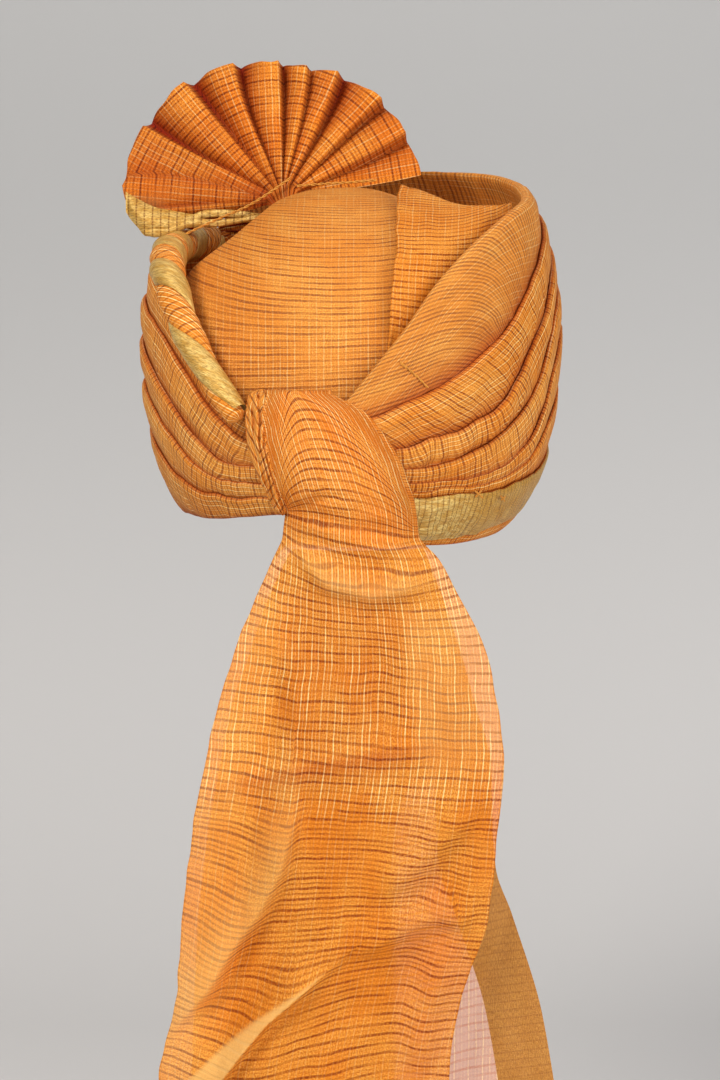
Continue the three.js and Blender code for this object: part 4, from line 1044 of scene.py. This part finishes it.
lineAngle, lineReach, lineDepth, ridgeAngle, ridgeNumber = np.array(fanLines, float).T

# The pleats open out and bend a little on their way up
fanUp = np.linspace(0, 1, fanSpec["upward"])[:, None]
fanRadius = mix(fanBaseRadius, lineReach[None], fanUp)
fanRadius = fanRadius + fanUp * 0.9 * softNoise(81, lineAngle / 5, 0)[None]
fanOut = lineDepth[None] * mix(fanSpec["baseDepth"], fanRelief, fanUp**0.85)
fanOut = fanOut + fanUp * (1.2 * softNoise(82, fanRadius / 16, lineAngle[None] / 8))
fanBend = 11 * softNoise(83, lineAngle / 21, 0)[None] * fanUp * (1 - fanUp) * 2
fanAngle = lineAngle[None] + fanBend
pleatPoints = placeFan(fanRadius, fanAngle, fanOut)

# The rim is turned over, and the neck gathers down to the crown
rimRows = [placeFan(fanRadius[-1:] + beyond, fanAngle[-1:], fanOut[-1:] + behind)
           for beyond, behind in fanRim]
neckHeights = [crownHeight(fanMiddle[0] + x, fanMiddle[1]) for x in fanNeck]
neckZ = max(neckHeights) + fanSpec["neckLift"]
neckX = fanMiddle[0] + mix(*fanNeck, np.linspace(0, 1, len(fanLines)))
neckRow = np.stack([neckX, fanMiddle[1] + 0 * neckX, neckZ + 0 * neckX], -1)[None]
throatShares = np.linspace(0, fanSpec["throatEnd"], fanSpec["throatRows"])[:, None, None]
fanPoints = np.concatenate([mix(neckRow, pleatPoints[:1], throatShares), pleatPoints, *rimRows])

# Flat places: each pleat is measured from its own ridge
sideways = fanRadius * np.sin(np.radians(fanAngle - ridgeAngle))
fanU = np.sign(sideways) * np.hypot(sideways, fanOut) + fanSpec["pleatCloth"] * ridgeNumber[None]
fanV = fanRadius * np.cos(np.radians(fanAngle - ridgeAngle))
fanFlat = np.stack([fanU, fanV], -1)
rimFlat = [fanFlat[-1:] + np.array([0, 1.0 + i]) for i in range(len(fanRim))]
fanFlat = np.concatenate([np.repeat(fanFlat[:1], fanSpec["throatRows"], 0), fanFlat, *rimFlat])

# Painted shade: dark in the valleys and at the base, lighter on the right pleats, which face the light, and
# darker on the wide left one, which turns away from it
fanShade = 1.05 * np.clip(fanOut / fanRelief, 0, 1) ** 0.7 + 0.4 * ease(0.25, 0, fanUp)
fanShade = fanShade * mix(0.7, 1, ease(30, 80, fanAngle)) + 0.24 * ease(146, 158, fanAngle)
throatShade, rimShade = np.repeat(fanShade[:1], fanSpec["throatRows"], 0), [fanShade[-1:]] * len(fanRim)
fanShade = np.minimum(1, np.concatenate([throatShade, fanShade, *rimShade]))
# Painted gold sheen: the cloth pales towards the border at its left end
fanPale = 0.55 * ease(186, 174, fanPoints[..., 2]) * ease(-104, -116, fanPoints[..., 0])
fanLooks = {"shade": fanShade, "faint": fanSpec["faint"], "pale": fanPale, "dense": fanSpec["dense"]}
fanGrid = (fanPoints, fanFlat * np.array([1, fanSpec["drawnIn"]]))
fanPleats = clothMesh("fanPleats", [fanGrid], fanBehind, fanCloth, fanLooks)
finishSheet(fanPleats, fanSpec)

# Gold border of the fan: two folded leaves from the rim's left end to the neck,
# each given by x from the fan's middle, and its lower and upper edge
frontLeaf = [
    (-78, -20.4, -17.5), (-72.6, -22, -16.4), (-67, -21.7, -16), (-59.5, -18.9, -14), (-51.5, -16.4, -11),
    (-38.5, -16.1, -11.6), (-24.3, -13.8, -10.8), (-11.8, -11.6, -9), (-6, -9.9, -8.6),
]
rearLeaf = [
    (-56, -13, -11.5), (-53.8, -12.6, -10.6), (-48.6, -11.5, -7), (-41.3, -10, -5.4), (-32.8, -9.8, -5.4),
    (-21.4, -10.8, -6.5), (-11.8, -10.2, -8), (-6.7, -9.9, -8.8),
]
# and its wide end under the lowest pleat, by x and z of its upper and its lower edge
panelRows = [
    (-89.2, 4.5, -89, -7), (-86, 2.5, -86.5, -11), (-80.9, -0.3, -82.5, -15.5), (-72.4, -4.2, -77, -20.8),
    (-61.1, -6.5, -66, -21), (-51.5, -8.2, -55, -16.5), (-46, -8.6, -48, -14),
]
# Its shine value gives it pale glints, painted highlights
fanBorderSpec = {"nodes": ["fan_border"], "slot": "gold_border", "flat": (0.03, 0.075), "held": "gathered",
                 "restsOn": ["fan", "crown_cloth"],
                 "leafRows": 60, "leafAround": 29, "leafEnd": (0.6, 0.2), "frontOut": -2.5, "frontSwell": 2.2,
                 "rearOut": 1.8, "rearSwell": 1.4, "panelAlong": 50, "panelAcross": 22, "panelOut": -0.8,
                 "panelSwell": 4.5, "looks": {"shine": 0.6}}


def leafGrid(rows, outAt, swell):
    x = np.linspace(rows[0][0], rows[-1][0], fanBorderSpec["leafRows"])[:, None]
    low, high = columnOf(rows, 1)(x), columnOf(rows, 2)(x)
    around = np.linspace(0, 2 * math.pi, fanBorderSpec["leafAround"])[None]
    up = (low + high) / 2 + (high - low) / 2 * np.cos(around)
    out = outAt - swell * np.sin(around) * np.minimum(1, (high - low) / 6)
    out = out + 0.25 * softNoise(95, x / 7, around * 2)
    y = fanMiddle[1] + out + up * math.sin(fanLean)
    z = fanMiddle[2] + up * math.cos(fanLean) - out * math.sin(fanLean)
    points = np.stack(np.broadcast_arrays(fanMiddle[0] + x, y, z), -1).copy()
    gatherEnd(points, fanBorderSpec["leafEnd"])
    return points, np.stack(np.broadcast_arrays(up + 3 * np.sin(around), x), -1)


panelT = np.linspace(0, 1, fanBorderSpec["panelAlong"])[:, None]
panelKeys = np.linspace(0, 1, len(panelRows))
topX, topUp, lowX, lowUp = [through(panelKeys, [row[i] for row in panelRows])(panelT) for i in range(4)]
panelShare = np.linspace(0, 1, fanBorderSpec["panelAcross"])[None]
panelX, panelUp = mix(topX, lowX, panelShare), mix(topUp, lowUp, panelShare)
panelSwell = fanBorderSpec["panelSwell"] * np.sin(math.pi * panelShare) * ease(0, 0.3, panelT)
panelOut = fanBorderSpec["panelOut"] - panelSwell * ease(1, 0.6, panelT)
panelOut = panelOut + 0.35 * softNoise(97, panelX / 6, panelUp / 5)
panelY = fanMiddle[1] + panelOut + panelUp * math.sin(fanLean)
panelPoints = np.stack([fanMiddle[0] + panelX, panelY, fanMiddle[2] + panelUp], -1)
frontGold = leafGrid(frontLeaf, fanBorderSpec["frontOut"], fanBorderSpec["frontSwell"])
rearGold = leafGrid(rearLeaf, fanBorderSpec["rearOut"], fanBorderSpec["rearSwell"])
fanGold = [frontGold, rearGold, (panelPoints, np.stack([panelUp, panelX], -1))]
fanBorder = clothMesh("fanBorder", fanGold, fanBehind, zariGold, fanBorderSpec["looks"])
finishSheet(fanBorder, fanBorderSpec)
print("stage: fan made")


# Threads: a two-ply thread that follows a line of points
def threadTree():
    tree = bpy.data.node_groups.new("twoPlyThread", "GeometryNodeTree")
    sockets = [("Geometry", "NodeSocketGeometry"), ("Ply Radius", "NodeSocketFloat"),
               ("Twist", "NodeSocketFloat"), ("Material", "NodeSocketMaterial")]
    for name, kind in sockets:
        tree.interface.new_socket(name, in_out="INPUT", socket_type=kind)
    tree.interface.new_socket("Geometry", in_out="OUTPUT", socket_type="NodeSocketGeometry")
    given = addNode(tree, "NodeGroupInput", {}, {}).node.outputs
    path = addNode(tree, "GeometryNodeMeshToCurve", {}, {0: given["Geometry"]})
    even = addNode(tree, "GeometryNodeResampleCurve", {"mode": "LENGTH"}, {"Curve": path, "Length": 0.7 * mm})
    index = addNode(tree, "GeometryNodeInputIndex", {}, {})
    turn = addNode(tree, mathNode, times, {0: index, 1: given["Twist"]})
    tilted = addNode(tree, "GeometryNodeSetCurveTilt", {}, {"Curve": even, "Tilt": turn})
    # Two round plies side by side make the profile
    ring = addNode(tree, "GeometryNodeCurvePrimitiveCircle", {}, {
        "Resolution": 6, "Radius": given["Ply Radius"]})
    aside = addNode(tree, "ShaderNodeCombineXYZ", {}, {0: given["Ply Radius"]})
    otherSide = addNode(tree, "ShaderNodeVectorMath", {"operation": "SCALE"}, {0: aside, "Scale": -1.0})
    plies = addNode(tree, "GeometryNodeJoinGeometry", {}, {})
    for offset in (aside, otherSide):
        ply = addNode(tree, "GeometryNodeTransform", {}, {"Geometry": ring, "Translation": offset})
        tree.links.new(ply, plies.node.inputs[0])
    swept = addNode(tree, "GeometryNodeCurveToMesh", {}, {
        "Curve": tilted, "Profile Curve": plies, "Fill Caps": True})
    real = addNode(tree, "GeometryNodeRealizeInstances", {}, {0: swept})
    dressed = addNode(tree, "GeometryNodeSetMaterial", {}, {"Geometry": real, "Material": given["Material"]})
    addNode(tree, "NodeGroupOutput", {}, {0: dressed})
    return tree


threadNodes, threadSteps = threadTree(), 40


def addThread(name, lines, spec):
    verts, edges = [], []
    for line in lines:
        points = rollCurve(np.array(line, float), threadSteps)[0] * mm
        edges += [(len(verts) + i, len(verts) + i + 1) for i in range(len(points) - 1)]
        verts += points.tolist()
    path = bpy.data.meshes.new(name + "Path")
    path.from_pydata(verts, edges, [])
    guide = bpy.data.objects.new(name + "Path", path)
    bpy.context.scene.collection.objects.link(guide)
    modifier = guide.modifiers.new("thread", "NODES")
    modifier.node_group = threadNodes
    items = threadNodes.interface.items_tree
    sockets = {item.name: item.identifier for item in items if item.in_out == "INPUT"}
    modifier[sockets["Ply Radius"]] = spec["plyRadius"] * mm
    modifier[sockets["Twist"]] = spec["twist"]
    modifier[sockets["Material"]] = zariThread
    evaluated = guide.evaluated_get(bpy.context.evaluated_depsgraph_get())
    mesh = bpy.data.meshes.new_from_object(evaluated)
    mesh.name = name
    mesh.shade_smooth()
    bpy.data.objects.remove(guide)
    piece = bpy.data.objects.new(name, mesh)
    bpy.context.scene.collection.objects.link(piece)
    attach(piece, "root")


# Lays a line, given by x and z, on the side of a cloth that faces the camera
def layOn(cloth, line, within, over):
    flat = cloth.reshape(-1, 3)
    laid = []
    for x, z in line:
        close = np.hypot(flat[:, 0] - x, flat[:, 2] - z) < within
        laid.append((x, flat[close, 1].min() - over, z))
    return laid


# The thread that ties the fan crosses its gold leaves and its lowest pleats
tieSpec = {"plyRadius": 0.42, "twist": 0.55}
tieLeft = [(-103, 17, 158.8), (-96, 14.5, 161.5), (-85, 15.5, 166.6), (-74, 17, 171.5), (-62, 18.5, 176.7),
           (-49, 19.5, 184.5), (-36.7, 20.5, 193)]
tieRight = [(-33, 21, 188.6), (-20, 19, 189.6), (-6, 18.5, 190.4), (12, 18, 191.8)]
addThread("fanTieThread", [tieLeft, tieRight], tieSpec)

# A slanting tack holds the right swathe's folds, with a short stitch at its upper end
tackSpec = {"plyRadius": 0.3, "twist": 0.6, "within": 2.5, "tackOver": 0.5, "stitchOver": 0.7}
tackLine = [(25.1, 94.1), (29.5, 90.2), (34, 86), (38.1, 81.7)]
stitchLine = [(23.6, 95.6), (25, 93.6), (26.8, 92.4)]
tackPoints = layOn(rightPoints, tackLine, tackSpec["within"], tackSpec["tackOver"])
stitchPoints = layOn(rightPoints, stitchLine, tackSpec["within"], tackSpec["stitchOver"])
addThread("tackThread", [tackPoints, stitchPoints], tackSpec)

# Two small crossed stitches hold the border's upper edge
stitchSpec = {"plyRadius": 0.28, "twist": 0.6, "within": 3, "over": 0.4}
borderStitches = [
    [(63.6, 25.8), (66, 23.6), (68.2, 21.4)], [(64.2, 22.4), (66.2, 24), (67.6, 26)],
    [(78.4, 21.6), (79.7, 19.9), (80.6, 18.4)], [(78.8, 19.2), (79.8, 20.2), (81, 20.8)],
]
stitches = [layOn(borderPoints, line, stitchSpec["within"], stitchSpec["over"]) for line in borderStitches]
addThread("borderStitches", stitches, stitchSpec)
print("stage: threads made")


# Studio

# Matte studio paper, with a faint cloud so that it isn't one flat tone.
# Its back is clear, so it hides nothing from behind
def studioPaper(name, tones):
    material, tree = startMaterial(name)
    colour = {key: linear(tone) for key, tone in tones.items()}
    place = addNode(tree, "ShaderNodeTexCoord", {}, {}, "Object")
    noise = addNode(tree, noiseNode, {}, {"Vector": place, "Scale": 1.2, "Detail": 2.0})
    cloudy = addNode(tree, mixNode, blend, {0: noise, 6: colour["wall"], 7: colour["wallLight"]}, 2)
    height = addNode(tree, "ShaderNodeSeparateXYZ", {}, {0: place}, 2)
    # Painted light: the paper turns to the paler floor tone towards the bottom
    lowShare = addNode(tree, rangeNode, smooth, {0: height, 1: 0.3, 2: -0.5})
    tone = addNode(tree, mixNode, blend, {0: lowShare, 6: cloudy, 7: colour["floor"]}, 2)
    shader = addNode(tree, "ShaderNodeBsdfPrincipled", {}, {"Base Color": tone, "Roughness": 0.9})
    behind = addNode(tree, "ShaderNodeNewGeometry", {}, {}, "Backfacing")
    clear = addNode(tree, "ShaderNodeBsdfTransparent", {}, {})
    shown = addNode(tree, "ShaderNodeMixShader", {}, {0: behind, 1: shader, 2: clear})
    addNode(tree, "ShaderNodeOutputMaterial", {}, {0: shown})
    return material


# The floor runs up into a pale backdrop
paperTones = {"wall": "#B4B3B2", "wallLight": "#B9B8B7", "floor": "#D0CDCB"}
floorZ, wallY, bendRadius = -460, 1300, 700
bendAngles = np.linspace(0.1, math.pi / 2, 14)
bendY, bendZ = wallY - bendRadius, floorZ + bendRadius
sweep = [(-2600, floorZ), (bendY, floorZ)]
sweep += [(bendY + bendRadius * math.sin(a), bendZ - bendRadius * math.cos(a)) for a in bendAngles]
sweep += [(wallY, 3200)]
paperGrid = np.array([[(x, y, z) for y, z in sweep] for x in np.linspace(-3000, 3000, 13)])
paperMaterial = studioPaper("studioPaper", paperTones)
paper = clothMesh("studioFloor", [(paperGrid, paperGrid[..., :2])], (0, 5000, -3000), paperMaterial, {})


# Places a lamp or the camera and turns it to its target, in metres
def aim(item, location, target):
    item.location = location
    item.rotation_euler = (Vector(target) - Vector(location)).to_track_quat("-Z", "Y").to_euler()
    bpy.context.scene.collection.objects.link(item)


def addLight(name, location, target, size, power, tint):
    data = bpy.data.lights.new(name, "AREA")
    data.shape = "RECTANGLE"
    data.size, data.size_y = size
    data.energy = power
    data.color = linear(tint)[:3]
    aim(bpy.data.objects.new(name, data), location, target)


# Soft light: a warm key from the left, a wide fill from the right, and weak light from the front and above
addLight("keyLight", (-1.1, -1.4, 1.4), (0, 0, 0.02), (0.8, 0.8), 35, "#FFFBF4")
addLight("fillLight", (1.7, -1.5, 0.4), (0, 0, -0.05), (1.3, 1.5), 29, "#FFFFFF")
addLight("frontLight", (0.3, -2.4, 0.12), (0, 0, -0.15), (1.4, 0.8), 15, "#FFFFFF")
addLight("topLight", (0.1, 0.2, 1.7), (0, 0, 0), (1.4, 1.4), 8, "#FFFFFF")

worldSpec = {"tint": "#DDE0E4", "strength": 0.34}
world = bpy.data.worlds.new("studioWorld")
world.use_nodes = True
background = world.node_tree.nodes["Background"]
background.inputs["Color"].default_value = linear(worldSpec["tint"])
background.inputs["Strength"].default_value = worldSpec["strength"]
bpy.context.scene.world = world

# The camera stands as in the photo
cameraSpec = {"lens": 94.07, "sensor": 36, "location": (0.0028, -1.5912, 0.1562),
              "target": (0.0028, 0, -0.011)}
cameraData = bpy.data.cameras.new("photoCamera")
cameraData.sensor_fit = "VERTICAL"
cameraData.sensor_height = cameraSpec["sensor"]
cameraData.lens = cameraSpec["lens"]
camera = bpy.data.objects.new("photoCamera", cameraData)
aim(camera, cameraSpec["location"], cameraSpec["target"])
bpy.context.scene.camera = camera

bpy.context.scene.view_settings.view_transform = "Standard"
